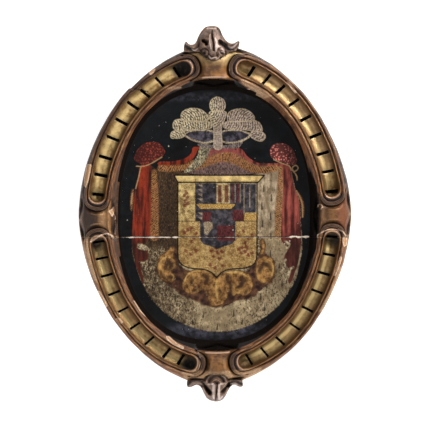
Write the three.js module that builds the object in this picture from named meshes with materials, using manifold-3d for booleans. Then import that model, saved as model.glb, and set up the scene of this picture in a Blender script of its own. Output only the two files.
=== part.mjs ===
// Oval armorial panel, carved from two boards glued edge to edge.
// A dished ground is framed by a moulded ring with four fluted channels, four bridges
// between them, and a leaf ornament at the top and at the bottom.
// Millimetres, +Z up, front towards -Y, origin in the middle of the flat back.

import * as THREE from 'three';
import { mergeVertices } from 'three/addons/utils/BufferGeometryUtils.js';
import Module from 'manifold-3d';

const wasm = await Module();
wasm.setup();

// Outline of the whole oval and of the opening round the painted ground, from the centre
const outlineHalfWidth = 262;
const outlineHalfHeight = 328;
const outlineRoundness = 1.8;
const groundHalfWidth = 190;
const groundHalfHeight = 250;
const groundRoundness = 2.3;

// Depths in front of the flat back
const groundDepth = 24;
const groundDish = 7;
const wallInset = 9;
const railDepth = 52;
const railFootDepth = 46;
const edgeDepth = 36;
const sideDepth = 12;
const backInset = 9;

// Channels: a round cove between two rails, with a hollow mouth at each end
const channelPlace = 0.515;
const channelHalfWidth = 15;
const coveDepth = 12;
const mouthDip = 6;
const mouthLength = 30;

// Mouldings that run all round each channel
const lipWidth = 3;
const lipRise = 2;
const lipRiseAtMouth = 3;
const quirkWidth = 1.5;
const quirkDepth = 1.5;
const rollWidth = 6;
const rollRise = 3;
const rollDrop = 2;

// Bridges between the channels, clockwise from the top: place in degrees and length
const topBridgeLength = 93;
const rightBridgeLength = 70;
const bottomBridgeLength = 83;
const leftBridgeLength = 69;
const bridges = [
  { angle: -0.3, length: topBridgeLength },
  { angle: 89.7, length: rightBridgeLength },
  { angle: 179, length: bottomBridgeLength },
  { angle: 267.8, length: leftBridgeLength },
];
const bridgeDepth = 59;
const bridgeCrown = 1;
const bridgeValleyDepth = 53;
const bridgeLipDepth = 55;
const bridgeWallDepth = 44;
const bridgeFootDepth = 36;
const bridgeShoulderDepth = 48;
const bridgeQuirkDepth = 45;

// Gouge cuts across the channels, set out by eye. The first and last cut's distance from the
// channel's two ends, and each cut's shift from the even step, are shares of its half width.
const slotCount = 9;
const slotWidth = 4.5;
const slotHalfLength = 12.5;
const slotDepth = 6;
const slotInsets = [
  { first: 1.33, last: 0.83 },
  { first: 0.53, last: 1.2 },
  { first: 1.67, last: 0.53 },
  { first: 0.87, last: 1.33 },
];
const slotShifts = [
  [0.39, 0.19, -0.08, -0.04, -0.02, 0.02, 0.09, 0.09, 0.12],
  [0, -0.2, -0.2, -0.22, -0.13, 0.03, 0.22, 0.13, -0.14],
  [0.35, -0.12, 0.16, 0.43, 0.48, 0.48, 0.41, 0.35, 0.03],
  [0, 0, -0.08, -0.07, -0.07, -0.07, -0.43, -0.5, -0.53],
];

// The open joint between the boards, from the centre
const jointHeight = -43;
const jointGap = 0.3;

// Leaf ornaments at the top and the bottom. Their plan is in shares of their own height,
// measured from the end of the oval: rows of height and half width, curls, eyes, volutes.
const crestHeight = 69;
const crestEdgeDepth = 52;
const crestDomeHeight = 22;
const crestTipDrop = 7;
const footHeight = 55;
const footEdgeDepth = 50;
const footDomeHeight = 20;
const footTipDrop = 5;
const leafBackDepth = 14;
const leafGrooveDepth = 3;
const leafEyeDepth = 12;
const crest = {
  height: crestHeight,
  edgeDepth: crestEdgeDepth,
  domeHeight: crestDomeHeight,
  tipDrop: crestTipDrop,
  shift: -0.058,
  rows: [
    [-0.522, 0.087], [-0.493, 0.159], [-0.42, 0.261], [-0.304, 0.348],
    [-0.174, 0.377], [-0.043, 0.406], [0.145, 0.333], [0.304, 0.246],
    [0.406, 0.203], [0.478, 0.13],
  ],
  grooveRange: [-0.232, 0.348],
  eye: { x: 0.203, z: -0.029, width: 0.08, height: 0.065 },
  ears: [
    { x: 0.319, z: -0.13, lift: 0.029, radius: 0.116 },
    { x: 0.507, z: -0.145, lift: 0.043, radius: 0.101 },
    { x: 0.667, z: -0.116, lift: 0.029, radius: 0.087 },
    { x: 0.739, z: 0.014, lift: 0.072, radius: 0.043 },
  ],
  volute: { x: 0.217, z: -0.333, lift: 0.203, radius: 0.116 },
};
const foot = {
  height: footHeight,
  edgeDepth: footEdgeDepth,
  domeHeight: footDomeHeight,
  tipDrop: footTipDrop,
  shift: 0.036,
  rows: [
    [-0.455, 0.109], [-0.345, 0.255], [-0.2, 0.382], [-0.036, 0.4],
    [0.145, 0.364], [0.309, 0.291], [0.491, 0.164], [0.545, 0.091],
  ],
  grooveRange: [-0.145, 0.545],
  eye: { x: 0.236, z: 0.073, width: 0.091, height: 0.109 },
  ears: [
    { x: 0.255, z: -0.055, lift: 0, radius: 0.145 },
    { x: 0.509, z: -0.127, lift: 0, radius: 0.109 },
    { x: 0.764, z: -0.109, lift: 0.018, radius: 0.109 },
    { x: 0.982, z: -0.091, lift: 0.036, radius: 0.127 },
  ],
  volute: { x: 0.2, z: -0.255, lift: 0.255, radius: 0.109 },
};

// Facets
const straightSteps = 13;
const cornerSteps = 3;
const coveShares = [0.62];
const flankShares = [0.14, 0.36, 1];
const groundShares = [1, 0.7];
const cutterSides = 8;
const curlArcSteps = 4;
const curlSteps = 3;
const ballSides = 8;

const degree = Math.PI / 180;

function smooth(from, to, value) {
  return THREE.MathUtils.smoothstep(value, from, to);
}

// Closed outlines in the plane of the oval, by their angle clockwise from the top

function ovalRadius(angle, halfWidth, halfHeight, roundness) {
  const across = Math.pow(Math.abs(Math.sin(angle)) / halfWidth, roundness);
  const upward = Math.pow(Math.abs(Math.cos(angle)) / halfHeight, roundness);
  return Math.pow(across + upward, -1 / roundness);
}

function outerRadius(angle) {
  return ovalRadius(angle, outlineHalfWidth, outlineHalfHeight, outlineRoundness);
}

function groundRadius(angle) {
  return ovalRadius(angle, groundHalfWidth, groundHalfHeight, groundRoundness);
}

function ringPoint(angle, share) {
  const radius = THREE.MathUtils.lerp(groundRadius(angle), outerRadius(angle), share);
  return new THREE.Vector2(radius * Math.sin(angle), radius * Math.cos(angle));
}

function angleOf(point) {
  return Math.atan2(point.x, point.y);
}

// The middle line of the channels: its direction, and steps along it

function lineTangent(angle) {
  const step = 0.001;
  const before = ringPoint(angle - step, channelPlace);
  return ringPoint(angle + step, channelPlace).sub(before).normalize();
}

function outwards(tangent) {
  return new THREE.Vector2(-tangent.y, tangent.x);
}

function walkLine(angle, distance) {
  const direction = Math.sign(distance);
  const step = 0.0005 * direction;
  let left = Math.abs(distance);
  let here = ringPoint(angle, channelPlace);
  while (left > 0) {
    angle += step;
    const next = ringPoint(angle, channelPlace);
    left -= next.distanceTo(here);
    here = next;
  }
  return angle;
}

function lineLength(from, to) {
  const steps = 400;
  let length = 0;
  let here = ringPoint(from, channelPlace);
  for (let i = 1; i <= steps; i++) {
    const next = ringPoint(THREE.MathUtils.lerp(from, to, i / steps), channelPlace);
    length += next.distanceTo(here);
    here = next;
  }
  return length;
}

// Profile of a channel and its mouldings

function coveFloor(distance) {
  const radius = (channelHalfWidth ** 2 + coveDepth ** 2) / (2 * coveDepth);
  return railDepth - (Math.sqrt(radius ** 2 - distance ** 2) - (radius - coveDepth));
}

const mouldings = [
  { offset: 0, depth: coveFloor(0), hollow: 1, raised: 0 },
  ...coveShares.map((share) => ({
    offset: share * channelHalfWidth,
    depth: coveFloor(share * channelHalfWidth),
    hollow: 1 - share * share,
    raised: 0,
  })),
  { offset: channelHalfWidth, depth: railDepth, hollow: 0, raised: 0.3 },
  { offset: channelHalfWidth + lipWidth / 2, depth: railDepth + lipRise, hollow: 0, raised: 1 },
  { offset: channelHalfWidth + lipWidth, depth: railDepth - quirkDepth, hollow: 0, raised: 0.6 },
  {
    offset: channelHalfWidth + lipWidth + quirkWidth + rollWidth / 2,
    depth: railDepth + rollRise,
    hollow: 0,
    raised: 0.3,
  },
  {
    offset: channelHalfWidth + lipWidth + quirkWidth + rollWidth,
    depth: railDepth - rollDrop,
    hollow: 0,
    raised: 0,
  },
];

// Height of the middle of a bridge, from the ground's rim to the outer edge

const bridgeProfile = [
  { share: 0, depth: bridgeFootDepth },
  { share: 0.09, depth: bridgeWallDepth },
  { share: 0.18, depth: bridgeLipDepth },
  { share: 0.26, depth: bridgeValleyDepth },
  { share: 0.4, depth: bridgeDepth - bridgeCrown },
  { share: 0.57, depth: bridgeDepth },
  { share: 0.76, depth: (bridgeDepth + bridgeShoulderDepth) / 2 },
  { share: 0.9, depth: bridgeShoulderDepth },
  { share: 1, depth: edgeDepth },
];

// Ways in which the surface leaves the last moulding for the edge of its block

function roundedOver(share) {
  return 1 - Math.sqrt(1 - share * share);
}

function straightDown(share) {
  return share;
}

function flatThenDown(share) {
  return smooth(0, 0.5, share);
}

// Spokes from a channel's middle line to the edge of its block, once round the channel

function straightSpokes(channel, side) {
  const spokes = [];
  for (let i = 0; i < straightSteps; i++) {
    const share = side > 0 ? i / straightSteps : 1 - i / straightSteps;
    const angle = THREE.MathUtils.lerp(channel.from, channel.to, share);
    const direction = outwards(lineTangent(angle)).multiplyScalar(side);
    const centre = ringPoint(angle, channelPlace);
    const last = mouldings[mouldings.length - 1].offset;
    const tip = centre.clone().addScaledVector(direction, last);
    const along = share * channel.length;
    spokes.push({
      centre,
      direction,
      edge: ringPoint(angleOf(tip), side > 0 ? 1 : 0),
      edgeDepth: side > 0 ? edgeDepth : railFootDepth,
      rounding: side > 0 ? roundedOver : straightDown,
      quirk: 0,
      mouth: mouthShare(along, channel.length),
    });
  }
  return spokes;
}

function mouthShare(along, length) {
  const nearest = Math.min(along, length - along);
  return 1 - smooth(0, mouthLength, nearest);
}

// Round the end of a channel, each spoke that meets the bridge leaves from the point
// of the end that lies as far from the ground as the place it meets

function endTurns(side, bridgeAngle) {
  const bridgeWidth = ringPoint(bridgeAngle, 1).distanceTo(ringPoint(bridgeAngle, 0));
  const reach = mouldings[mouldings.length - 1].offset;
  const stations = side > 0 ? bridgeProfile.toReversed() : bridgeProfile;
  const steps = 2 * cornerSteps + stations.length - 1;
  const known = [{ index: 0, turn: 0 }];
  stations.forEach((station, k) => {
    const level = (side * (station.share - channelPlace) * bridgeWidth) / reach;
    if (Math.abs(level) < 0.9) {
      known.push({ index: cornerSteps + k, turn: Math.acos(level) });
    }
  });
  known.push({ index: steps, turn: Math.PI });
  return Array.from({ length: steps }, (unused, i) => {
    const next = known.findIndex((entry) => entry.index > i);
    const [low, high] = [known[next - 1], known[next]];
    return THREE.MathUtils.mapLinear(i, low.index, high.index, low.turn, high.turn);
  });
}

function endSpokes(angle, bridgeAngle, side) {
  const tangent = lineTangent(angle);
  const centre = ringPoint(angle, channelPlace);
  const reach = mouldings[mouldings.length - 1].offset;
  const startTip = centre.clone().addScaledVector(outwards(tangent), side * reach);
  const endTip = centre.clone().addScaledVector(outwards(tangent), -side * reach);
  const turns = endTurns(side, bridgeAngle);
  return turns.map((turn, i) => {
    const direction = outwards(tangent).multiplyScalar(side * Math.cos(turn));
    direction.addScaledVector(tangent, side * Math.sin(turn));
    const edge = endEdge(i, turns.length, bridgeAngle, side, startTip, endTip);
    return { centre, direction, mouth: 1, ...edge };
  });
}

function endEdge(i, steps, bridgeAngle, side, startTip, endTip) {
  const fromEnd = steps - i;
  const outerFirst = side > 0;
  if (i < cornerSteps) {
    return sideEdge(startTip, bridgeAngle, i / cornerSteps, outerFirst);
  }
  if (fromEnd < cornerSteps) {
    return sideEdge(endTip, bridgeAngle, fromEnd / cornerSteps, !outerFirst);
  }
  const station = bridgeProfile[outerFirst ? fromEnd - cornerSteps : i - cornerSteps];
  return {
    edge: ringPoint(bridgeAngle, station.share),
    edgeDepth: station.depth,
    rounding: flatThenDown,
    quirk: 1,
  };
}

function sideEdge(tip, bridgeAngle, share, outer) {
  const start = angleOf(tip);
  const turn = Math.atan2(Math.sin(bridgeAngle - start), Math.cos(bridgeAngle - start));
  return {
    edge: ringPoint(start + turn * share, outer ? 1 : 0),
    edgeDepth: outer ? edgeDepth : THREE.MathUtils.lerp(railFootDepth, bridgeFootDepth, share),
    rounding: outer ? roundedOver : straightDown,
    quirk: share,
  };
}

function spokePoints(spoke) {
  const points = mouldings.map((moulding) => {
    const place = spoke.centre.clone().addScaledVector(spoke.direction, moulding.offset);
    const dip = mouthDip * moulding.hollow * spoke.mouth;
    const rise = lipRiseAtMouth * moulding.raised * spoke.mouth;
    return new THREE.Vector3(place.x, -(moulding.depth - dip + rise), place.y);
  });
  const start = points[points.length - 1];
  const end = new THREE.Vector3(spoke.edge.x, -spoke.edgeDepth, spoke.edge.y);
  flankShares.forEach((share, i) => {
    const point = start.clone().lerp(end, share);
    const sunk = i === 0 ? spoke.quirk * (railDepth - bridgeQuirkDepth) : 0;
    point.y = THREE.MathUtils.lerp(start.y, end.y, spoke.rounding(share)) + sunk;
    points.push(point);
  });
  return points;
}

// Closed meshes from triangles, without doubled points

function solidFrom(triangles) {
  const positions = new Float32Array(triangles.length * 9);
  triangles.forEach((corners, i) => {
    corners.forEach((corner, j) => corner.toArray(positions, i * 9 + j * 3));
  });
  const geometry = new THREE.BufferGeometry();
  geometry.setAttribute('position', new THREE.BufferAttribute(positions, 3));
  return solidFromGeometry(geometry);
}

function solidFromGeometry(geometry) {
  const bare = new THREE.BufferGeometry();
  bare.setAttribute('position', geometry.getAttribute('position').clone());
  if (geometry.index) {
    bare.setIndex(geometry.index.clone());
  }
  const merged = mergeVertices(bare, 1e-3);
  const index = merged.index.array;
  const kept = [];
  for (let i = 0; i < index.length; i += 3) {
    const [a, b, c] = [index[i], index[i + 1], index[i + 2]];
    if (a !== b && b !== c && c !== a) {
      kept.push(a, b, c);
    }
  }
  return new wasm.Manifold(new wasm.Mesh({
    numProp: 3,
    vertProperties: new Float32Array(merged.getAttribute('position').array),
    triVerts: new Uint32Array(kept),
  }));
}

// Two triangles between neighbouring rows of points, seen clockwise from the first row

function quad(triangles, a, b, c, d) {
  triangles.push([a, b, c], [a, c, d]);
}

// The ring and its dished ground, as one closed body

function channelOf(index) {
  const before = bridges[index];
  const after = bridges[(index + 1) % bridges.length];
  const fromBridge = before.angle * degree;
  const wraps = after.angle < before.angle;
  const toBridge = (after.angle + (wraps ? 360 : 0)) * degree;
  const from = walkLine(fromBridge, before.length / 2 + channelHalfWidth);
  const to = walkLine(toBridge, -(after.length / 2 + channelHalfWidth));
  return { fromBridge, toBridge, from, to, length: lineLength(from, to) };
}

const channels = bridges.map((bridge, index) => channelOf(index));

function channelSpokes(channel) {
  return [
    ...straightSpokes(channel, 1),
    ...endSpokes(channel.to, channel.toBridge, 1),
    ...straightSpokes(channel, -1),
    ...endSpokes(channel.from, channel.fromBridge, -1),
  ];
}

function rimOf(allSpokes, share) {
  const rim = new Map();
  for (const spoke of allSpokes) {
    const angle = angleOf(spoke.edge);
    if (spoke.edge.distanceTo(ringPoint(angle, share)) < 0.01) {
      const place = new THREE.Vector3(spoke.edge.x, -spoke.edgeDepth, spoke.edge.y);
      rim.set(Math.round(angle * 1e5), place);
    }
  }
  return [...rim.entries()].sort((a, b) => a[0] - b[0]).map(([, point]) => point);
}

function atDepth(rim, share, depth) {
  return rim.map((point) => new THREE.Vector3(point.x * share, -depth, point.z * share));
}

function ringStrip(triangles, inner, outer) {
  for (let i = 0; i < inner.length; i++) {
    const next = (i + 1) % inner.length;
    quad(triangles, inner[i], inner[next], outer[next], outer[i]);
  }
}

function ovalSolid() {
  const triangles = [];
  const allSpokes = [];
  for (const channel of channels) {
    const spokes = channelSpokes(channel);
    const rows = spokes.map(spokePoints);
    rows.forEach((row, i) => {
      const next = rows[(i + 1) % rows.length];
      for (let j = 1; j < row.length; j++) {
        quad(triangles, row[j - 1], next[j - 1], next[j], row[j]);
      }
    });
    allSpokes.push(...spokes);
  }

  const wallTop = rimOf(allSpokes, 0);
  const wallShare = 1 - wallInset / groundHalfWidth;
  const rings = [wallTop, ...groundShares.map((share) => (
    atDepth(wallTop, wallShare * share, groundDepth + groundDish * share ** 6)
  ))];
  for (let i = 1; i < rings.length; i++) {
    ringStrip(triangles, rings[i], rings[i - 1]);
  }
  const innermost = rings[rings.length - 1];
  const middle = new THREE.Vector3(0, -groundDepth, 0);
  innermost.forEach((point, i) => {
    triangles.push([middle, innermost[(i + 1) % innermost.length], point]);
  });

  const front = rimOf(allSpokes, 1);
  const inset = 1 - backInset / outlineHalfWidth;
  const side = atDepth(front, 1, sideDepth);
  const back = atDepth(front, inset, 0);
  ringStrip(triangles, front, side);
  ringStrip(triangles, side, back);
  const backMiddle = new THREE.Vector3(0, 0, 0);
  back.forEach((point, i) => {
    triangles.push([backMiddle, point, back[(i + 1) % back.length]]);
  });
  return solidFrom(triangles);
}

// Gouge cuts: round-bottomed, across the channel

function slotCutters() {
  const cutters = [];
  channels.forEach((channel, index) => {
    const first = slotInsets[index].first * channelHalfWidth;
    const last = slotInsets[index].last * channelHalfWidth;
    const start = walkLine(channel.from, first - channelHalfWidth);
    const run = channel.length + 2 * channelHalfWidth - first - last;
    for (let i = 0; i < slotCount; i++) {
      const share = i / (slotCount - 1);
      const along = run * share + slotShift(index, share) * channelHalfWidth;
      const angle = along > 0 ? walkLine(start, along) : start;
      const mouth = mouthShare(along + first - channelHalfWidth, channel.length);
      cutters.push(slotCutter(angle, mouth));
    }
  });
  return cutters;
}

function slotShift(index, share) {
  const shifts = slotShifts[index];
  const place = share * (shifts.length - 1);
  const before = Math.min(Math.floor(place), shifts.length - 2);
  return THREE.MathUtils.lerp(shifts[before], shifts[before + 1], place - before);
}

function slotCutter(angle, mouth) {
  const disc = new THREE.CylinderGeometry(slotHalfLength, slotHalfLength, slotWidth, cutterSides);
  const floor = coveFloor(0) - mouthDip * mouth - slotDepth;
  const place = ringPoint(angle, channelPlace);
  const tangent = lineTangent(angle);
  const heading = Math.atan2(tangent.y, tangent.x);
  disc.rotateZ(Math.PI / 2);
  disc.rotateY(-heading);
  disc.translate(place.x, -(floor + slotHalfLength), place.y);
  return solidFromGeometry(disc);
}

// Leaf ornaments: a domed leaf with a centre groove, two hollows, two side curls and two
// volutes. Rows run from the end over the bridge to the free tip.

function leafBody(leaf) {
  const columns = [-1, -0.82, -0.5, -0.12, 0, 0.12, 0.5, 0.82, 1];
  const lengthRange = [leaf.rows[0][0], leaf.rows[leaf.rows.length - 1][0]];
  const front = leaf.rows.map(([place, halfWidth]) => columns.map((column) => {
    const tip = smooth(lengthRange[0], lengthRange[1], place);
    const dome = leaf.domeHeight * Math.sqrt(1 - 0.96 * column * column) - leaf.tipDrop * tip;
    const [grooveFrom, grooveTo] = leaf.grooveRange;
    const inGroove = column === 0 && place >= grooveFrom && place <= grooveTo;
    const depth = leaf.edgeDepth + dome - (inGroove ? leafGrooveDepth : 0);
    return new THREE.Vector3(column * halfWidth * leaf.height, -depth, place * leaf.height);
  }));
  const loop = [
    ...front[0],
    ...front.slice(1, -1).map((row) => row[row.length - 1]),
    ...front[front.length - 1].toReversed(),
    ...front.slice(1, -1).map((row) => row[0]).toReversed(),
  ];
  const back = loop.map((point) => new THREE.Vector3(point.x, -leafBackDepth, point.z));
  const backMiddle = new THREE.Vector3(0, -leafBackDepth, 0);
  const triangles = [];
  for (let i = 1; i < front.length; i++) {
    for (let j = 1; j < columns.length; j++) {
      quad(triangles, front[i - 1][j - 1], front[i - 1][j], front[i][j], front[i][j - 1]);
    }
  }
  loop.forEach((point, i) => {
    const next = (i + 1) % loop.length;
    quad(triangles, point, back[i], back[next], loop[next]);
    triangles.push([backMiddle, back[next], back[i]]);
  });
  return solidFrom(triangles);
}

// A side curl: round on top, with straight sides down to the back of the ornament

function sideCurl(leaf, side) {
  const stations = leaf.ears.map((ear) => new THREE.Vector3(
    ear.x * leaf.height * side,
    -(leaf.edgeDepth + ear.lift * leaf.height),
    ear.z * leaf.height,
  ));
  const line = new THREE.CatmullRomCurve3(stations);
  const spans = stations.length - 1;
  const steps = spans * curlSteps;
  const sections = [];
  for (let i = 0; i <= steps; i++) {
    const place = (spans * i) / steps;
    const before = Math.min(Math.floor(place), spans - 1);
    const radius = leaf.height * THREE.MathUtils.lerp(
      leaf.ears[before].radius,
      leaf.ears[before + 1].radius,
      place - before,
    );
    const tangent = line.getTangent(i / steps);
    const across = new THREE.Vector3(-tangent.z, 0, tangent.x).normalize();
    sections.push(curlSection(line.getPoint(i / steps), across, radius));
  }
  const triangles = [];
  for (let i = 1; i < sections.length; i++) {
    ringStrip(triangles, sections[i - 1], sections[i]);
  }
  const first = sections[0];
  const last = sections[steps];
  for (let k = 2; k < first.length; k++) {
    triangles.push([first[0], first[k], first[k - 1]]);
    triangles.push([last[0], last[k - 1], last[k]]);
  }
  return solidFrom(triangles);
}

function curlSection(centre, across, radius) {
  const section = [];
  for (let k = 0; k <= curlArcSteps; k++) {
    const turn = (Math.PI * k) / curlArcSteps;
    const point = centre.clone().addScaledVector(across, radius * Math.cos(turn));
    point.y -= radius * Math.sin(turn);
    section.push(point);
  }
  for (const corner of [section[curlArcSteps], section[0]]) {
    section.push(new THREE.Vector3(corner.x, -leafBackDepth, corner.z));
  }
  return section;
}

function ball(x, depth, z, radiusX, radiusY, radiusZ) {
  const sphere = new THREE.SphereGeometry(1, ballSides, ballSides - 2);
  sphere.scale(radiusX, radiusY, radiusZ);
  sphere.translate(x, -depth, z);
  return solidFromGeometry(sphere);
}

function leafSolid(leaf) {
  const { volute, eye, height } = leaf;
  const radius = volute.radius * height;
  const voluteDepth = leaf.edgeDepth + volute.lift * height;
  const eyeFront = leaf.edgeDepth + leaf.domeHeight * 0.8;
  let solid = leafBody(leaf);
  for (const side of [-1, 1]) {
    solid = solid.add(sideCurl(leaf, side));
    const voluteX = volute.x * height * side;
    solid = solid.add(ball(voluteX, voluteDepth, volute.z * height, radius, radius, radius));
    const eyeX = eye.x * height * side;
    const hollow = ball(
      eyeX,
      eyeFront,
      eye.z * height,
      eye.width * height,
      leafEyeDepth,
      eye.height * height,
    );
    solid = solid.subtract(hollow);
  }
  return solid;
}

// The whole carving, then the two boards

function turned(leaf, upward) {
  const tipwards = upward ? 1 : -1;
  const shift = leaf.shift * leaf.height;
  const matrix = new THREE.Matrix4().makeTranslation(shift, 0, tipwards * outlineHalfHeight);
  if (!upward) {
    matrix.multiply(new THREE.Matrix4().makeRotationY(Math.PI));
  }
  return leafSolid(leaf).transform(matrix.elements);
}

function slab(fromHeight, toHeight) {
  const reach = 3 * Math.max(outlineHalfWidth, outlineHalfHeight);
  const box = new THREE.BoxGeometry(reach, reach, toHeight - fromHeight);
  box.translate(0, 0, (fromHeight + toHeight) / 2);
  return solidFromGeometry(box);
}

const carving = slotCutters().reduce(
  (solid, cutter) => solid.subtract(cutter),
  ovalSolid().add(turned(crest, true)).add(turned(foot, false)),
);
const farHeight = 2 * outlineHalfHeight;
const upperSolid = carving.intersect(slab(jointHeight + jointGap / 2, farHeight));
const lowerSolid = carving.intersect(slab(-farHeight, jointHeight - jointGap / 2));

function meshFrom(solid, name, material) {
  const { vertProperties, triVerts } = solid.getMesh();
  const geometry = new THREE.BufferGeometry();
  geometry.setAttribute('position', new THREE.BufferAttribute(vertProperties, 3));
  geometry.setIndex(new THREE.BufferAttribute(triVerts, 1));
  geometry.computeVertexNormals();
  const mesh = new THREE.Mesh(geometry, material);
  mesh.name = name;
  return mesh;
}

const giltWood = new THREE.MeshStandardMaterial({ color: '#8f6a3c', roughness: 0.45, metalness: 0.3 });
const wornGiltWood = new THREE.MeshStandardMaterial({ color: '#876238', roughness: 0.5, metalness: 0.25 });

const panel = new THREE.Group();
panel.add(meshFrom(upperSolid, 'upper_board', giltWood));
panel.add(meshFrom(lowerSolid, 'lower_board', wornGiltWood));

export default panel;
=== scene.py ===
"""An oval coat of arms carved from two boards, painted and gilded, made to hang on a wall."""

import math

import bpy
import numpy as np
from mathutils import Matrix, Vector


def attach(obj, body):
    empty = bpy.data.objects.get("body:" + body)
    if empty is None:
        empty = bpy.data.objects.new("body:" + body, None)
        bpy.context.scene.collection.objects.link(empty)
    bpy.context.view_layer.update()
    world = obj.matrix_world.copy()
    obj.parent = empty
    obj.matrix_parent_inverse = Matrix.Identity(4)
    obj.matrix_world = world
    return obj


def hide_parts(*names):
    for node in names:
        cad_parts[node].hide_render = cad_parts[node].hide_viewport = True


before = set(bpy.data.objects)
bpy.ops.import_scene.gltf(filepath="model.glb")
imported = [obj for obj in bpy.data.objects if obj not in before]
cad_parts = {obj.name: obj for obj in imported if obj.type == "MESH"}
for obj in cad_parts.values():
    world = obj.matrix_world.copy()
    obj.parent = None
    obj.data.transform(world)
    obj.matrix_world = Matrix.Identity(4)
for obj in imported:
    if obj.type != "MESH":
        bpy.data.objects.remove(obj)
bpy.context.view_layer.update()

# Moulded ring
# A thick pine board carved with four coved channels, each with a bead and a roll all round
# it, and four swelling bridges between them. It is gessoed, glazed brown and gilt inside.

MM = 0.001
outline_half_width = 262
outline_half_height = 328
outline_roundness = 1.8
opening_half_width = 190
opening_half_height = 250
opening_roundness = 2.3
ground_depth = 24
ground_dish = 7
ground_half_width = 187
ground_half_height = 246
wall_share = 1 - 9 / opening_half_width
rail_depth = 52
rail_foot_depth = 46
edge_depth = 36
side_depth = 12
back_share = 1 - 9 / outline_half_width
channel_place = 0.515
channel_half_width = 15
cove_depth = 12
cuts_in_channel = 9
mouth_dip = 6
mouth_length = 30
bead_end = 18
bead_depth = 50.5
quirk_depth = 50
roll_start = 19.4
moulding_reach = 25.5
beyond_mouldings = 60
mean_radius = 295
bridge_foot_depth = 36
bridges = [(-0.3, 93), (89.7, 70), (179, 83), (267.8, 69)]
bridge_shares = np.array([0, 0.09, 0.18, 0.26, 0.4, 0.57, 0.76, 0.9, 1])
bridge_depths = np.array([36, 44, 55, 53, 58, 59, 53.5, 48, 36])


def smooth(start, end, value):
    share = np.clip((value - start) / (end - start), 0, 1)
    return share * share * (3 - 2 * share)


def blend(first, second, share):
    return first + (second - first) * share


def hand_noise(x, z, size, seed):
    """Smooth waver from -1 to 1 over the board, with swellings about that size apart."""
    table = np.random.default_rng(seed).uniform(-1, 1, (64, 64))
    across, upward = np.asarray(x) / size + 640, np.asarray(z) / size + 640
    column, row = np.floor(across).astype(int), np.floor(upward).astype(int)
    u, v = smooth(0, 1, across - column), smooth(0, 1, upward - row)
    corner = lambda i, j: table[(column + i) % 64, (row + j) % 64]
    return blend(blend(corner(0, 0), corner(1, 0), u), blend(corner(0, 1), corner(1, 1), u), v)


def oval_radius(angle, half_width, half_height, roundness):
    across = (np.abs(np.sin(angle)) / half_width) ** roundness
    upward = (np.abs(np.cos(angle)) / half_height) ** roundness
    return (across + upward) ** (-1 / roundness)


def outline_radius(angle):
    return oval_radius(angle, outline_half_width, outline_half_height, outline_roundness)


def opening_radius(angle):
    return oval_radius(angle, opening_half_width, opening_half_height, opening_roundness)


def ring_point(angle, share):
    radius = blend(opening_radius(angle), outline_radius(angle), share)
    return np.stack([radius * np.sin(angle), radius * np.cos(angle)], axis=-1)


def angle_of(points):
    return np.arctan2(points[..., 0], points[..., 1])


def line_direction(angle):
    step = ring_point(angle + 1e-3, channel_place) - ring_point(angle - 1e-3, channel_place)
    return step / np.linalg.norm(step, axis=-1, keepdims=True)


def outwards(direction):
    return np.stack([-direction[..., 1], direction[..., 0]], axis=-1)


def channel_line(index):
    """Angles and walked distances along a channel, counted from the centre of its first end."""
    first, before = bridges[index]
    second, after = bridges[(index + 1) % 4]
    angles = np.radians(np.linspace(first, second + (360 if second < first else 0), 4001))
    steps = np.linalg.norm(np.diff(ring_point(angles, channel_place), axis=0), axis=1)
    walked = np.concatenate([[0], np.cumsum(steps)])
    start = before / 2 + channel_half_width
    length = walked[-1] - start - after / 2 - channel_half_width
    return {"angles": angles, "walked": walked - start, "length": length}


def angle_along(line, distance):
    return np.interp(distance, line["walked"], line["angles"])


def cove_floor(offset):
    radius = (channel_half_width**2 + cove_depth**2) / (2 * cove_depth)
    inside = np.sqrt(np.maximum(radius**2 - np.minimum(offset, channel_half_width) ** 2, 0))
    return rail_depth - (inside - (radius - cove_depth))


def cove_share(offset):
    """1 on the middle line of a channel, 0 from its edge outwards."""
    return np.maximum(1 - (offset / channel_half_width) ** 2, 0)


def half_round(offset, start, end):
    across = np.clip((2 * offset - start - end) / (end - start), -1, 1)
    return np.sqrt(1 - across**2)


def moulding_depth(offset, mouth):
    """Depth of cove, bead, quirk and roll by the distance from the channel's middle line."""
    depth = cove_floor(offset) - mouth_dip * cove_share(offset) * mouth
    bead = blend(rail_depth, bead_depth, smooth(channel_half_width, bead_end, offset))
    bead = bead + 2.4 * half_round(offset, channel_half_width, bead_end)
    bead = bead + 2.5 * mouth * smooth(14.5, 16.5, offset)
    roll = quirk_depth + 5 * half_round(offset, roll_start, moulding_reach) + 0.8 * mouth
    depth = np.where(offset > channel_half_width, bead, depth)
    depth = np.where(offset > bead_end, quirk_depth + 1.5 * mouth, depth)
    return np.where(offset > roll_start, roll, depth)


def bridge_depth(share):
    """Height of the middle of a bridge from the opening to the outline."""
    slopes = np.gradient(bridge_depths, bridge_shares)
    k = np.clip(np.searchsorted(bridge_shares, share, side="right") - 1, 0, 7)
    run = bridge_shares[k + 1] - bridge_shares[k]
    t = (share - bridge_shares[k]) / run
    rise = bridge_depths[k] * (2 * t**3 - 3 * t**2 + 1) + slopes[k] * run * (t**3 - 2 * t**2 + t)
    return rise + bridge_depths[k + 1] * (3 * t**2 - 2 * t**3) + slopes[k + 1] * run * (t**3 - t**2)


slot_ends = [(1.33, 0.83), (0.53, 1.2), (1.67, 0.53), (0.87, 1.33)]
slot_shifts = [
    [5.8, 2.8, -1.3, -0.7, -0.4, 0.2, 1.4, 1.4, 1.9], [0, -3.1, -3, -3.5, -2, 0.5, 3.5, 1.9, -2.2],
    [5.3, -1.9, 2.4, 6.5, 7.3, 7.4, 6.2, 5.4, 0.5], [0, 0, -1.4, -1, -1, -1, -6.6, -7.7, -8],
]
hand = np.random.default_rng(21)


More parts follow.
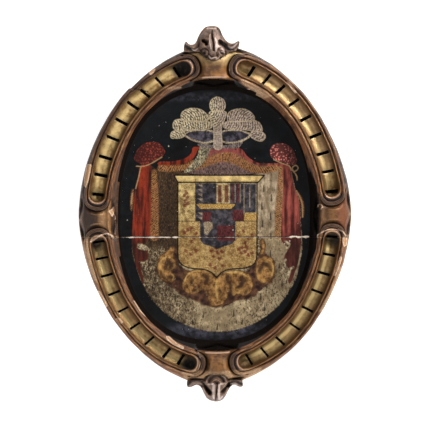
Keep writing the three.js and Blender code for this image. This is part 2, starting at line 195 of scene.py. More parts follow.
def slot_places(line, ends, shifts):
    """The cuts along a channel, evenly spaced with a little jitter and the given shifts."""
    start = (ends[0] - 1) * channel_half_width
    run = line["length"] - start - (ends[1] - 1) * channel_half_width
    even = start + run * np.arange(cuts_in_channel) / (cuts_in_channel - 1)
    return even + hand.uniform(-1, 1, cuts_in_channel) + shifts


def swelling_between(line, along):
    """Each stretch between two cuts swells and tilts a little."""
    cuts = line["slots"]
    k = np.clip(np.searchsorted(cuts, along) - 1, 0, cuts_in_channel - 2)
    way = np.clip((along - cuts[k]) / (cuts[k + 1] - cuts[k]), 0, 1)
    between_cuts = (way > 0) & (way < 1)
    swell = line["swell"][k] * np.sqrt(np.maximum(4 * way * (1 - way), 0))
    return swell + line["tilt"][k] * (way - 0.5) * between_cuts, np.where(between_cuts, way, 0.5)


corner_steps = 8
station_steps = 52
moulding_offsets = np.array(
    [0, 1.4, 2.8, 4.2, 5.6, 7, 8.3, 9.6, 10.8, 12, 13.1, 14.2, 14.95]
    + [15.02, 15.3, 15.8, 16.5, 17.2, 17.7, 17.98, 18.05, 19.3]
    + [19.42, 19.6, 20, 20.8, 21.2, 21.5, 21.8, 22.5, 23.2, 23.6, 24, 24.6, 25.1, 25.5]
)
bridge_flank = np.array(
    [0.02, 0.045, 0.07, 0.1, 0.13, 0.17, 0.22, 0.3, 0.4, 0.5, 0.62, 0.75, 0.88, 1]
)
side_flank = np.array(
    [0.08, 0.17, 0.27, 0.37, 0.47, 0.56, 0.65, 0.73, 0.8, 0.86, 0.91, 0.95, 0.98, 1]
)


def straight_spokes(line, side):
    """Spokes from a channel's middle line out to the edge of the ring, on one side of it."""
    count = int(line["length"] / 2)
    share = np.arange(count) / count
    share = share if side > 0 else 1 - share
    along = share * line["length"]
    angle = angle_along(line, along)
    centre = ring_point(angle, channel_place)
    direction = outwards(line_direction(angle)) * side
    tip = angle_of(centre + direction * moulding_reach)
    nearest = np.minimum(along, line["length"] - along)
    swelling, way = swelling_between(line, along)
    blank = np.zeros(count)
    return {
        "centre": centre,
        "direction": direction,
        "edge": ring_point(tip, 1.0 if side > 0 else 0.0),
        "edge_depth": blank + (edge_depth if side > 0 else rail_foot_depth),
        "outer": blank + (side > 0),
        "bridge": blank,
        "mouth": 1 - smooth(0, mouth_length, nearest),
        "widening": blank,
        "groove": blank,
        "swelling": swelling,
        "way": way,
    }


def end_spokes(line, at_end, bridge_angle, side):
    """Spokes round one end of a channel. Those that meet the bridge keep level with it."""
    angle = angle_along(line, line["length"] if at_end else 0.0)
    centre = ring_point(angle, channel_place)
    direction = line_direction(angle)
    reach = moulding_reach + 7
    width = np.linalg.norm(ring_point(bridge_angle, 1.0) - ring_point(bridge_angle, 0.0))
    share = np.linspace(*((1, 0) if side > 0 else (0, 1)), station_steps + 1)
    level = side * (share - channel_place) * width / reach
    near = np.abs(level) < 0.9
    steps = 2 * corner_steps + station_steps
    known = np.concatenate([[0], corner_steps + np.flatnonzero(near), [steps]])
    known_turn = np.concatenate([[0], np.arccos(level[near]), [math.pi]])
    index = np.arange(steps)
    turn = np.interp(index, known, known_turn)
    heading = outwards(direction) * side * np.cos(turn)[:, None]
    heading = heading + direction * side * np.sin(turn)[:, None]
    tips = [angle_of(centre + outwards(direction) * side * moulding_reach * k) for k in (1, -1)]

    def side_edge(tip, fraction, outer):
        bend = math.atan2(math.sin(bridge_angle - tip), math.cos(bridge_angle - tip))
        return ring_point(tip + bend * fraction, 1.0 if outer else 0.0)

    first = np.clip(index / corner_steps, 0, 1)
    last = np.clip((steps - index) / corner_steps, 0, 1)
    station = np.clip((index - corner_steps) / station_steps, 0, 1)
    station_share = 1 - station if side > 0 else station
    edge = ring_point(np.full(steps, bridge_angle), station_share)
    depth = bridge_depth(station_share)
    outer = np.zeros(steps)
    opening_foot = lambda fraction: blend(rail_foot_depth, bridge_foot_depth, fraction)
    for fraction, tip, chosen, is_outer in (
        (first, tips[0], index < corner_steps, side > 0),
        (last, tips[1], steps - index < corner_steps, side < 0),
    ):
        edge[chosen] = side_edge(tip, fraction[chosen], is_outer)
        depth[chosen] = edge_depth if is_outer else opening_foot(fraction[chosen])
        outer[chosen] = is_outer
    bridge = np.minimum(first, last)
    return {
        "centre": np.broadcast_to(centre, edge.shape),
        "direction": heading,
        "edge": edge,
        "edge_depth": depth,
        "outer": outer,
        "bridge": bridge,
        "mouth": np.ones(steps),
        "widening": smooth(0.25, 0.95, np.sin(turn)),
        "groove": np.full(steps, 0.35 if abs(math.sin(bridge_angle)) > 0.7 else 1.0),
        "swelling": np.zeros(steps),
        "way": np.full(steps, 0.5),
    }


def block_points(spokes):
    """Plan, depth and moulding offset of each point of a channel's block, spoke by spoke."""
    offset = np.broadcast_to(moulding_offsets, (len(spokes["mouth"]), len(moulding_offsets)))
    widening = spokes["widening"][:, None]
    marks = [0, channel_half_width, 16.5, bead_end, roll_start, 22.5, moulding_reach]
    spread = np.interp(offset, marks, [0, channel_half_width, 19, 22.4, 25.4, 29, 32.5])
    reach = blend(offset, spread, widening)
    plan = spokes["centre"][:, None] + spokes["direction"][:, None] * reach[..., None]
    depth = moulding_depth(offset, spokes["mouth"][:, None])
    depth = depth + spokes["swelling"][:, None] * cove_share(offset)
    depth = depth + widening * 1.2 * smooth(15, 16, offset) * (1 - smooth(24.5, 25.5, offset))
    for line_place in (21.5, 23.6):
        depth = depth - widening * 1.7 * np.exp(-(((offset - line_place) / 0.5) ** 2))
    start, start_depth = plan[:, -1:], depth[:, -1:]
    bridge = spokes["bridge"][:, None]
    share = blend(side_flank, bridge_flank, bridge)
    flank = blend(start, spokes["edge"][:, None], share[..., None])
    span = np.linalg.norm(spokes["edge"][:, None] - start, axis=-1)
    walked = share * span
    over_bridge = smooth(2.5, np.maximum(0.5 * span, 8), walked)
    round_edge = 1 - np.sqrt(np.maximum(1 - share**2, 0))
    over_edge = np.where(spokes["outer"][:, None] > 0, round_edge, share)
    rounding = blend(over_edge, over_bridge, smooth(0, 1, bridge))
    flank_depth = blend(start_depth, spokes["edge_depth"][:, None], rounding)
    groove = spokes["groove"][:, None]
    groove_shape = np.exp(-(((walked - 1.2 - 1.2 * groove) / (0.8 + groove)) ** 2))
    flank_depth = flank_depth - 5 * groove * smooth(0.2, 1, bridge) * groove_shape
    plan = np.concatenate([plan, flank], axis=1)
    depth = np.concatenate([depth, flank_depth], axis=1)
    offset = np.concatenate([offset, moulding_reach + walked], axis=1)
    return plan, depth, offset, np.broadcast_to(bridge, depth.shape)


def lone(obj):
    """Selects this object alone and makes it the active one."""
    bpy.ops.object.select_all(action="DESELECT")
    obj.select_set(True)
    bpy.context.view_layer.objects.active = obj
    return obj


def primitive(add, name, **options):
    """A new primitive body, selected alone."""
    bpy.ops.object.select_all(action="DESELECT")
    add(**options)
    bpy.context.object.name = name
    return bpy.context.object


def read(items, key, width=1, kind=np.float32):
    """A value of all the points, edges or faces, one row for each."""
    values = np.empty(len(items) * width, kind)
    items.foreach_get(key, values)
    return values.reshape(-1, width) if width > 1 else values


def places(obj):
    return read(obj.data.vertices, "co", 3).astype(float)


def place(obj, points):
    obj.data.vertices.foreach_set("co", np.asarray(points, np.float32).ravel())
    obj.data.update()


def note(obj, name, values):
    """Keeps a value for each point, for the finish to read."""
    layer = obj.data.attributes.get(name) or obj.data.attributes.new(name, "FLOAT", "POINT")
    layer.data.foreach_set("value", np.asarray(values, np.float32).ravel())


grid = bpy.ops.mesh.primitive_grid_add


def sheet_of(name, plan, depth):
    """A primitive grid laid over rows of points, closed from its last row to its first."""
    counts = {"x_subdivisions": depth.shape[1] - 1, "y_subdivisions": depth.shape[0] - 1}
    obj = primitive(grid, name, size=1, **counts)
    place(obj, np.stack([plan[..., 0], -depth, plan[..., 1]], axis=-1).reshape(-1, 3) * MM)
    return obj


def edited(obj, step, selection="SELECT", **options):
    """Takes one step in edit mode on this object alone."""
    lone(obj)
    bpy.ops.object.mode_set(mode="EDIT")
    bpy.ops.mesh.select_all(action=selection)
    step(**options)
    bpy.ops.object.mode_set(mode="OBJECT")


def outward_faces(obj):
    edited(obj, bpy.ops.mesh.normals_make_consistent, inside=False)


def joined(objects, name):
    """Makes one body of several, which goes by the first one's mesh and this name."""
    bpy.ops.object.select_all(action="DESELECT")
    for obj in objects:
        obj.select_set(True)
    bpy.context.view_layer.objects.active = objects[0]
    bpy.ops.object.join()
    objects[0].name = name
    return objects[0]


carving_finish, ground_finish = "gilt and glazed carving", "oil painted ground"
pine_finish, cut_finish = "old planed pine", "dirt in the gouge cuts"
finishes = {}
for name in (carving_finish, ground_finish, pine_finish, cut_finish):
    finishes[name] = bpy.data.materials.new(name)


def finished(obj, name, chosen=None):
    """Gives faces one of the finishes. Every body carries all of them in the same order."""
    while len(obj.data.materials) < len(finishes):
        obj.data.materials.append(list(finishes.values())[len(obj.data.materials)])
    numbers = read(obj.data.polygons, "material_index", kind=np.int32)
    numbers[slice(None) if chosen is None else chosen] = list(finishes).index(name)
    obj.data.polygons.foreach_set("material_index", numbers)


lines = [channel_line(index) for index in range(4)]
for line, ends, shifts in zip(lines, slot_ends, slot_shifts):
    line["slots"] = slot_places(line, ends, shifts)
    line["swell"] = hand.uniform(1.6, 2.6, cuts_in_channel - 1)
    line["tilt"] = hand.uniform(-1.6, 1.6, cuts_in_channel - 1)
blocks = []
for index, line in enumerate(lines):
    first_bridge = math.radians(bridges[index][0])
    second_bridge = math.radians(bridges[(index + 1) % 4][0])
    parts = [
        straight_spokes(line, 1),
        end_spokes(line, True, second_bridge, 1),
        straight_spokes(line, -1),
        end_spokes(line, False, first_bridge, -1),
    ]
    spokes = {key: np.concatenate([part[key] for part in parts]) for key in parts[0]}
    spokes = {key: np.concatenate([value, value[:1]]) for key, value in spokes.items()}
    plan, depth, offset, bridge = block_points(spokes)
    block = sheet_of(f"channel_block_{index}", plan, depth)
    note(block, "offset", offset)
    note(block, "bridge", bridge)
    note(block, "wrap", np.broadcast_to(spokes["widening"][:, None], offset.shape))
    downward = spokes["way"] if index < 2 else 1 - spokes["way"]
    note(block, "way", np.broadcast_to(downward[:, None], offset.shape))
    blocks.append(block)
ring = joined(blocks, "moulded_ring")
edited(ring, bpy.ops.mesh.remove_doubles, threshold=0.02 * MM)
points = places(ring) / MM
x, z = points[:, 0], points[:, 2]
points[:, 1] -= 0.45 * hand_noise(x, z, 27, 1) + 0.2 * hand_noise(x, z, 8, 2)
points[:, 0] += 0.6 * hand_noise(x, z, 33, 5) + 0.2 * hand_noise(x, z, 11, 7)
points[:, 2] += 0.6 * hand_noise(x, z, 36, 6) + 0.2 * hand_noise(x, z, 12, 8)
place(ring, points * MM)


def open_edge(obj, far):
    """Selects the loop of open edges that lies nearest the outline, or else the opening."""
    unwanted = ("extend", "use_wire", "use_multi_face", "use_non_contiguous", "use_verts")
    edited(obj, bpy.ops.mesh.select_mode, type="EDGE")
    edited(obj, bpy.ops.mesh.select_non_manifold, "DESELECT", **dict.fromkeys(unwanted, False))
    points = places(obj) / MM
    angle = np.arctan2(points[:, 0], points[:, 2])
    radius = np.hypot(points[:, 0], points[:, 2])
    middle = (outline_radius(angle) + opening_radius(angle)) / 2
    ends = read(obj.data.edges, "vertices", 2, np.int32)
    outside = radius[ends[:, 0]] > middle[ends[:, 0]]
    chosen = read(obj.data.edges, "select", kind=bool) & (outside == far)
    obj.data.vertices.foreach_set("select", np.isin(np.arange(len(points)), ends[chosen]))
    obj.data.edges.foreach_set("select", chosen)
    obj.data.polygons.foreach_set("select", np.zeros(len(obj.data.polygons), bool))


def drawn_on(obj, share, depth):
    """Extrudes the selected open edge, and brings it to that share of its plan and that depth."""
    bpy.ops.object.mode_set(mode="EDIT")
    bpy.ops.mesh.extrude_edges_move()
    bpy.ops.object.mode_set(mode="OBJECT")
    chosen = read(obj.data.vertices, "select", kind=bool)
    points = places(obj)
    points[chosen, 0] *= share
    points[chosen, 2] *= share
    points[chosen, 1] = -depth * MM
    place(obj, points)


def covered(obj):
    bpy.ops.object.mode_set(mode="EDIT")
    bpy.ops.mesh.edge_face_add()
    bpy.ops.object.mode_set(mode="OBJECT")


open_edge(ring, far=True)
for share, depth in ((1, 28), (1, 20), (1, side_depth), (0.99, 5), (back_share / 0.99, 0)):
    drawn_on(ring, share, depth)
covered(ring)
open_edge(ring, far=False)
for share, depth in ((0.982, 38), (0.985, 33), (0.985, 27), (0.997, 19)):
    drawn_on(ring, share, depth)
covered(ring)
outward_faces(ring)
finished(ring, carving_finish)
middles = read(ring.data.polygons, "center", 3) / MM
plan, height = middles[:, [0, 2]], -middles[:, 1]
deep = (height < side_depth) & (np.hypot(plan[:, 0], plan[:, 1]) > 60)
finished(ring, pine_finish, deep | (height < 1))


def bridge_side(plan):
    """How far a place lies to the side of the middle line of its nearest bridge."""
    sides = []
    for angle, _ in bridges:
        foot, top = ring_point(math.radians(angle), 0.0), ring_point(math.radians(angle), 1.0)
        along = (top - foot) / np.linalg.norm(top - foot)
        reach = plan - foot
        side = reach[:, 0] * along[1] - reach[:, 1] * along[0]
        sides.append(np.where(reach @ along > -60, side, 999))
    sides = np.array(sides)
    return sides[np.argmin(np.abs(sides), axis=0), np.arange(len(plan))]


def ring_share(plan):
    """0 at the opening, 1 at the outline."""
    angle = angle_of(plan)
    foot = opening_radius(angle)
    return (np.hypot(plan[:, 0], plan[:, 1]) - foot) / (outline_radius(angle) - foot)


# The wall down to the ground, and on the bridges and at the right also its brow, take the
# near-black finish of the gouge cuts.
share, x, z = ring_share(plan), plan[:, 0], plan[:, 1]
wall = (share < 0.03 - 0.11 * smooth(50, 100, x) * smooth(50, 110, z)) & (height < 45.5)
by_bridge = -0.2 + 0.33 * smooth(52, 36, np.abs(bridge_side(plan)))
wall |= (share < by_bridge) & (height < 51) & (np.abs(z) > 150)
at_right = -0.2 + 0.3 * smooth(110, 150, x) * smooth(120, 60, np.abs(z + 5))
wall |= (share < at_right) & (height < 51)
wall &= ~((x < -150) & (share > -0.035 * smooth(120, 40, np.abs(z + 10))))
finished(ring, cut_finish, wall & (height > 16))


# Painted ground
# The dished field inside the ring, one with the boards. It is gessoed and painted in oil
# with a draped mantle, a plumed cap and a quartered shield over a nearly black ground.

ground = primitive(grid, "painted_ground", x_subdivisions=258, y_subdivisions=340, size=1)
points = places(ground)
plan_x = points[:, 0] * 2 * ground_half_width
plan_z = points[:, 1] * 2 * ground_half_height
angle = np.arctan2(plan_x, plan_z)
share = np.hypot(plan_x, plan_z) / opening_radius(angle) / wall_share
depth = ground_depth + ground_dish * np.minimum(share, 1.06) ** 6
depth = depth + 0.25 * hand_noise(plan_x, plan_z, 34, 3) + 0.1 * hand_noise(plan_x, plan_z, 9, 4)
place(ground, np.stack([plan_x, -depth, plan_z], axis=-1) * MM)


def thickened(obj, depth):
    """Extrudes the whole surface back to a flat face at that depth, and closes it."""
    edited(obj, bpy.ops.mesh.extrude_region_move)
    chosen = read(obj.data.vertices, "select", kind=bool)
    points = places(obj)
    points[chosen, 1] = -depth * MM
    place(obj, points)
    outward_faces(obj)


def prism(name, outline, low, high):
    """A solid of that outline between two depths, from a primitive circle."""
    circle = bpy.ops.mesh.primitive_circle_add
    obj = primitive(circle, name, vertices=len(outline), fill_type="NGON")
    level = np.full(len(outline), -high)
    place(obj, np.stack([outline[:, 0], level, outline[:, 1]], axis=-1) * MM)
    thickened(obj, low)
    return obj


def combined(obj, other, operation):
    """Joins a body with another, cuts it by the other or to the other, and drops the other."""
    lone(obj)
    modifier = obj.modifiers.new("cut", "BOOLEAN")
    modifier.operation = operation
    modifier.solver = "MANIFOLD"
    modifier.object = other
    bpy.ops.object.modifier_apply(modifier=modifier.name)
    bpy.data.objects.remove(other)


thickened(ground, 15)
turn = np.linspace(0, 2 * math.pi, 360, endpoint=False)
edge = opening_radius(turn)[:, None] * 0.975 * np.stack([np.sin(turn), np.cos(turn)], axis=-1)
cutter = prism("ground_outline", edge, 16, 60)
finished(ground, ground_finish)
finished(cutter, ground_finish)
combined(ground, cutter, "INTERSECT")
note(ground, "offset", np.full(len(ground.data.vertices), beyond_mouldings))


# Leaf ornaments
# A mask-like leaf with curled side lobes at the top and at the bottom, carved from the same
# boards over the bridges, gessoed and finished in a silvery brown.

def rounded_line(points, closed, steps=10):
    """A smooth line through drawn points."""
    points = np.asarray(points, float)
    count = len(points)
    result = []
    for i in range(count if closed else count - 1):
        around = np.arange(i - 1, i + 3)
        near = points[around % count if closed else np.clip(around, 0, count - 1)]
        for t in np.arange(steps) / steps:
            result.append(
                0.5 * (2 * near[1] + (near[2] - near[0]) * t
                + (2 * near[0] - 5 * near[1] + 4 * near[2] - near[3]) * t**2
                + (3 * near[1] - near[0] - 3 * near[2] + near[3]) * t**3)
            )
    return np.array(result if closed else result + [points[-1]])


def line_distance(x, z, line, closed=False):
    """Distance to a drawn line, and the share of its length at the nearest place."""
    line = np.asarray(line, float)
    ends = np.roll(line, -1, axis=0) if closed else line[1:]
    starts = line if closed else line[:-1]
    lengths = np.linalg.norm(ends - starts, axis=1)
    walked = np.concatenate([[0], np.cumsum(lengths)])
    best = np.full(np.shape(x), 1e9)
    where = np.zeros(np.shape(x))
    for start, end, length, before in zip(starts, ends, lengths, walked):
        if length < 1e-9:
            continue
        run = end - start
        t = np.clip(((x - start[0]) * run[0] + (z - start[1]) * run[1]) / length**2, 0, 1)
        gap = np.hypot(x - start[0] - t * run[0], z - start[1] - t * run[1])
        closer = gap < best
        best = np.where(closer, gap, best)
        where = np.where(closer, (before + t * length) / walked[-1], where)
    return best, where


def shape_distance(x, z, outline):
    """Distance to a closed outline, negative inside."""
    gap, _ = line_distance(x, z, outline, closed=True)
    inside = np.zeros(np.shape(x), bool)
    for start, end in zip(outline, np.roll(outline, -1, axis=0)):
        crosses = (start[1] > z) != (end[1] > z)
        rise = end[1] - start[1] if abs(end[1] - start[1]) > 1e-9 else 1e-9
        inside ^= crosses & (x < (end[0] - start[0]) * (z - start[1]) / rise + start[0])
    return np.where(inside, -gap, gap)


def soft_max(first, second, reach):
    mix = np.clip(0.5 + 0.5 * (first - second) / reach, 0, 1)
    return blend(second, first, mix) + reach * mix * (1 - mix)


def stroke(x, z, points, widths):
    """How near a place is to a carved stroke: 1 on its line, 0 at its edge and beyond."""
    gap, where = line_distance(x, z, rounded_line(points, False, 6))
    width = np.interp(where, np.linspace(0, 1, len(widths)), widths)
    return np.clip(1 - gap / width, 0, 1)


def ridge(x, z, points, widths, height):
    near = stroke(x, z, points, widths)
    return height * np.sqrt(1 - (1 - near) ** 2)


def leaf(name, outline, carve):
    """A leaf ornament from a fine primitive grid, carved by depth and cut to its outline."""
    outline = rounded_line(outline, True)
    low, high = outline.min(axis=0) - 2, outline.max(axis=0) + 2
    across, upward = (int(count) for count in (high - low) / 0.95)
    obj = primitive(grid, name, x_subdivisions=across, y_subdivisions=upward, size=1)
    points = places(obj)
    x = blend(low[0], high[0], points[:, 0] + 0.5)
    z = blend(low[1], high[1], points[:, 1] + 0.5)
    inward = np.maximum(-shape_distance(x, z, outline), 0)
    depth = np.maximum(carve(x, z, inward), 30)
    depth = depth + 0.35 * hand_noise(x, z, 7, 11) + 0.2 * hand_noise(x, z, 3.2, 12)
    place(obj, np.stack([x, -depth, z], axis=-1) * MM)
    thickened(obj, 13)
    cutter = prism(name + "_outline", outline, 14, 90)
    finished(obj, carving_finish)
    finished(cutter, carving_finish)
    combined(obj, cutter, "INTERSECT")
    note(obj, "leaf", np.ones(len(obj.data.vertices)))
    note(obj, "offset", np.full(len(obj.data.vertices), beyond_mouldings))
    return obj


crest_outline = [
    (-22, 356), (-16.5, 359.6), (-6, 361), (3.5, 360), (9.2, 355.5), (13.6, 345), (19, 335.5),
    (25.5, 329.5), (32.2, 327.6), (38.5, 329.3), (43, 331.8), (46.8, 331.3), (46, 325.5),
    (42.5, 319.4), (39, 313.6), (31, 312.5), (26, 310), (18.5, 302.5), (9.5, 295.8), (-2, 292.8),
    (-13.5, 295.6), (-21.5, 301.5), (-26.5, 310), (-33, 312), (-42, 311.5), (-52, 311.6),
    (-59, 313.5), (-59.4, 322.5), (-57.4, 329.4), (-54.6, 331.2), (-51, 327.4), (-45, 324.8),
    (-38.8, 326.2), (-35, 332), (-32.6, 339.4), (-27.8, 348.4),
]


def carve_crest(x, z, inward):
    """Depth of the top leaf: a dome with a curl and a ringed eye on each side."""
    lean = -4.6 + 0.06 * (328 - z)
    dome = 46 + 27 * np.sqrt(np.maximum(1 - (1 - np.minimum(inward / 21, 1)) ** 2, 0))
    dome = dome - 6 * smooth(338, 361, z) - 22 * smooth(20, 33, np.abs(x + 5)) * smooth(338, 326, z)
    dome = dome + 3.5 * np.exp(-(((x - lean) / 11) ** 2)) * smooth(338, 316, z)
    for points in (
        [(-30, 334), (-37, 325), (-45, 321), (-53, 323), (-57, 328)],
        [(16, 334), (24, 326.5), (33, 323.4), (41, 325), (45.4, 329.4)],
    ):
        curl = 50 + ridge(x, z, points, [9, 8, 6.4, 4.6, 3], 12)
        dome = soft_max(dome, curl, 2.5)
    dome = dome - 13 * stroke(x, z, [(-35, 317), (-45, 314.5), (-57, 316)], [3, 5, 4]) ** 0.7
    under = [(10, 328), (20, 320.5), (30, 314.8), (36, 314.5)]
    dome = dome - 15 * stroke(x, z, under, [6, 6, 5, 4]) ** 0.7
    dome = dome + ridge(x, z, [(-41, 317.6), (-36, 315.6), (-31.6, 318.5)], [2.2, 2.4, 2.2], 4)
    dome = dome + ridge(x, z, [(30, 318.6), (36, 316.4), (40, 320)], [2.2, 2.4, 2], 4)
    dome = dome - 15 * stroke(x, z, [(-21, 331), (-17.5, 328.5), (-16.5, 325)], [5, 6, 4]) ** 0.7
    groove = stroke(x, z, [(-5.8, 352), (-4.6, 335), (-2.6, 319), (-2, 312)], [1.6, 2.2, 2.6, 3])
    dome = dome - 4.5 * groove
    for eye in (-20.5, 11.5):
        radius = np.hypot(x - eye, z - 308.5)
        dome = soft_max(dome, 56 + 9 * np.sqrt(np.maximum(1 - (radius / 8.5) ** 2, 0)), 2)
        dome = dome + 2.2 * np.exp(-(((radius - 5) / 1.3) ** 2))
        dome = dome - 4.5 * np.exp(-((radius / 2.4) ** 2))
        dome = dome - 3 * np.exp(-(((radius - 8.8) / 1.1) ** 2))
    chin = np.hypot((x + 2.5) * 0.95, z - 311)
    lower = smooth(309, 305, z)
    dome = dome - 3.2 * lower * np.exp(-(((chin - 9.5) / 1.5) ** 2))
    dome = dome + 2 * lower * np.exp(-(((chin - 13) / 1.7) ** 2))
    return dome


crest = leaf("crest_leaf", crest_outline, carve_crest)

foot_outline = [
    (-53, -317.6), (-48, -315.8), (-37, -315), (-27.5, -314.6), (-22, -312.2), (-19, -307),
    (-10.5, -303), (1.5, -301.3), (13, -303.2), (22, -308), (26.4, -313.6), (32, -315.5),
    (42, -315.8), (50.5, -317), (53.2, -320.4), (52.8, -327.6), (47, -329), (41.5, -327),
    (36, -325.8), (30.5, -328.2), (25, -336.5), (20.4, -346), (14.4, -353.6), (4.5, -357.3),
    (-6.4, -356), (-15.5, -351), (-21, -342.4), (-25, -333.4), (-29.5, -327.6), (-37, -325.8),
    (-43.5, -328.6), (-51.5, -330), (-53.8, -324),
]


def carve_foot(x, z, inward):
    """Depth of the bottom leaf: a dome under a small hood, between two wings."""
    dome = 44 + 25 * np.sqrt(np.maximum(1 - (1 - np.minimum(inward / 19, 1)) ** 2, 0))
    dome = dome - 5 * smooth(-340, -358, z) - 18 * smooth(20, 32, np.abs(x - 1))
    dome = dome + 3 * np.exp(-(((x - 2) / 8) ** 2)) * smooth(-318, -326, z)
    hood = np.hypot((x - 2.2) / 1.12, z + 321)
    upper = smooth(-324, -318, z)
    dome = dome - 9 * upper * np.exp(-(((hood - 12.6) / 3.1) ** 2))
    dome = dome + 3.4 * upper * np.exp(-(((hood - 7.6) / 2) ** 2))
    dome = dome - 5 * upper * np.exp(-((hood / 5) ** 2))
    for side in (-1, 1):
        wing = [
            (side * 20 + 1, -322), (side * 32 + 1, -320), (side * 44, -320.5), (side * 50, -323),
        ]
        dome = soft_max(dome, 46 + ridge(x, z, wing, [6, 5.4, 5.6, 6.6], 8), 2)
        under = [(side * 24, -327.5), (side * 36, -324), (side * 40, -326)]
        dome = dome - 6 * stroke(x, z, under, [3, 3, 3])
    hollows = (
        ([(-21, -323), (-15, -331), (-9.5, -338.5)], [4.5, 5, 5.2]),
        ([(25.5, -323), (20, -331), (14.5, -337.5)], [4, 4.6, 5]),
    )
    for points, widths in hollows:
        dome = dome - 15 * stroke(x, z, points, widths) ** 0.7
    return dome - 4.5 * stroke(x, z, [(4, -321), (2.8, -334), (1, -356)], [2.4, 1.9, 1.8])


foot = leaf("foot_leaf", foot_outline, carve_foot)


# Gouge cuts
# Nine round-bottomed cuts cross each channel, made with a narrow gouge before gilding and
# left dark with dirt. They lean a little towards the level.

cuts = []
for line, cut_width in zip(lines, (6.1, 5.1, 5.1, 6.1)):
    for along in line["slots"]:
        angle = angle_along(line, along)
        centre = ring_point(angle, channel_place)
        direction = line_direction(angle)
        heading = math.atan2(direction[1], direction[0])
        rise = math.asin(abs(direction[0]))
        lean = 0.16 * rise * (-1 if centre[0] * centre[1] > 0 else 1)
        nearest = min(along, line["length"] - along)
        mouth = 1 - smooth(0, mouth_length, nearest)
        floor = cove_floor(0) - mouth_dip * mouth - 6 + hand.uniform(-0.6, 0.6)
        half_length = 11.9 + hand.uniform(-0.5, 0.6)
        width = cut_width + hand.uniform(-0.6, 0.6)
        size = {"vertices": 36, "radius": half_length * MM, "depth": width * MM}
        cut = primitive(bpy.ops.mesh.primitive_cylinder_add, "gouge_cut", **size)
        points = places(cut) / MM
        drop = (points[:, 1] + half_length) / (2 * half_length)
        along_axis = points[:, 2] * (0.82 + 0.5 * (1 - drop))
        turned = heading + lean
        local = np.stack([along_axis, points[:, 0]], axis=-1)
        turn_x = np.array([math.cos(turned), math.sin(turned)])
        turn_z = np.array([-math.sin(turned), math.cos(turned)])
        plan = centre + local[:, :1] * turn_x + local[:, 1:] * turn_z
        level = -(floor + half_length) + points[:, 1]
        place(cut, np.stack([plan[:, 0], level, plan[:, 1]], axis=-1) * MM)
        cuts.append(cut)
gouges = joined(cuts, "gouge_cuts")
outward_faces(gouges)
finished(gouges, cut_finish)
note(gouges, "offset", np.full(len(gouges.data.vertices), 8))
combined(ring, gouges, "DIFFERENCE")


# Two boards
# The oval is two thick boards glued edge to edge. The glue has let go, and the joint stands
# open by a hair, with a white edge of broken gesso along it.

joint_height = -43
joint_gap = 0.3
for carved_piece in (ground, crest, foot):
    combined(ring, carved_piece, "UNION")


def all_below(height):
    """A block that holds everything below that height."""
    block = primitive(bpy.ops.mesh.primitive_cube_add, "below_the_joint", size=1)
    low, high = np.array([-300, -120, -400]), np.array([300, 20, height])
    place(block, blend(low, high, places(block) + 0.5) * MM)
    finished(block, pine_finish)
    return block


below = all_below(joint_height + joint_gap / 2)
lone(ring)
bpy.ops.object.duplicate()
lower = bpy.context.object
upper = ring
upper.name = "upper_board_carving"
lower.name = "lower_board_carving"
combined(upper, below, "DIFFERENCE")
combined(lower, all_below(joint_height - joint_gap / 2), "INTERSECT")


# Painted arms
# A draped mantle lined with fur, a plumed cap and a quartered shield in a scrolled frame, in
# oil on the dark ground. Each colour keeps its distance to the edge of its area in millimetres.

carved = np.concatenate([places(upper), places(lower)]) / MM
first_lower = len(upper.data.vertices)
plan = carved[:, [0, 2]]
angle = angle_of(plan)
share = ring_share(plan)
front = -carved[:, 1] > 17
in_picture = (share < 0.04) & front & (-carved[:, 1] < 45)
picture_x, picture_z = plan[in_picture, 0], plan[in_picture, 1]


def keep(name, values):
    """Keeps a value for each point of both boards."""
    note(upper, name, values[:first_lower])
    note(lower, name, values[first_lower:])


def keep_in_picture(name, values, elsewhere):
    whole = np.full(len(plan), float(elsewhere))
    whole[in_picture] = values
    keep(name, whole)


def area(*outlines, curved=True):
    """Distance to the edge of painted areas, negative inside."""
    parts = [rounded_line(one, True, 5) if curved else np.array(one, float) for one in outlines]
    return np.min([shape_distance(picture_x, picture_z, part) for part in parts], axis=0)


def band(points, width):
    """Distance to the edge of a painted strip, given its widths along the line."""
    line = rounded_line(points, False, 5)
    gap, where = line_distance(picture_x, picture_z, line)
    return gap - np.interp(where, np.linspace(0, 1, len(width)), width) / 2


def bands(strips):
    """Distance to the edge of the nearest of several strips."""
    return np.min([band(points, width) for points, width in strips], axis=0)


def disc(centre, radius):
    return np.hypot(picture_x - centre[0], picture_z - centre[1]) - radius


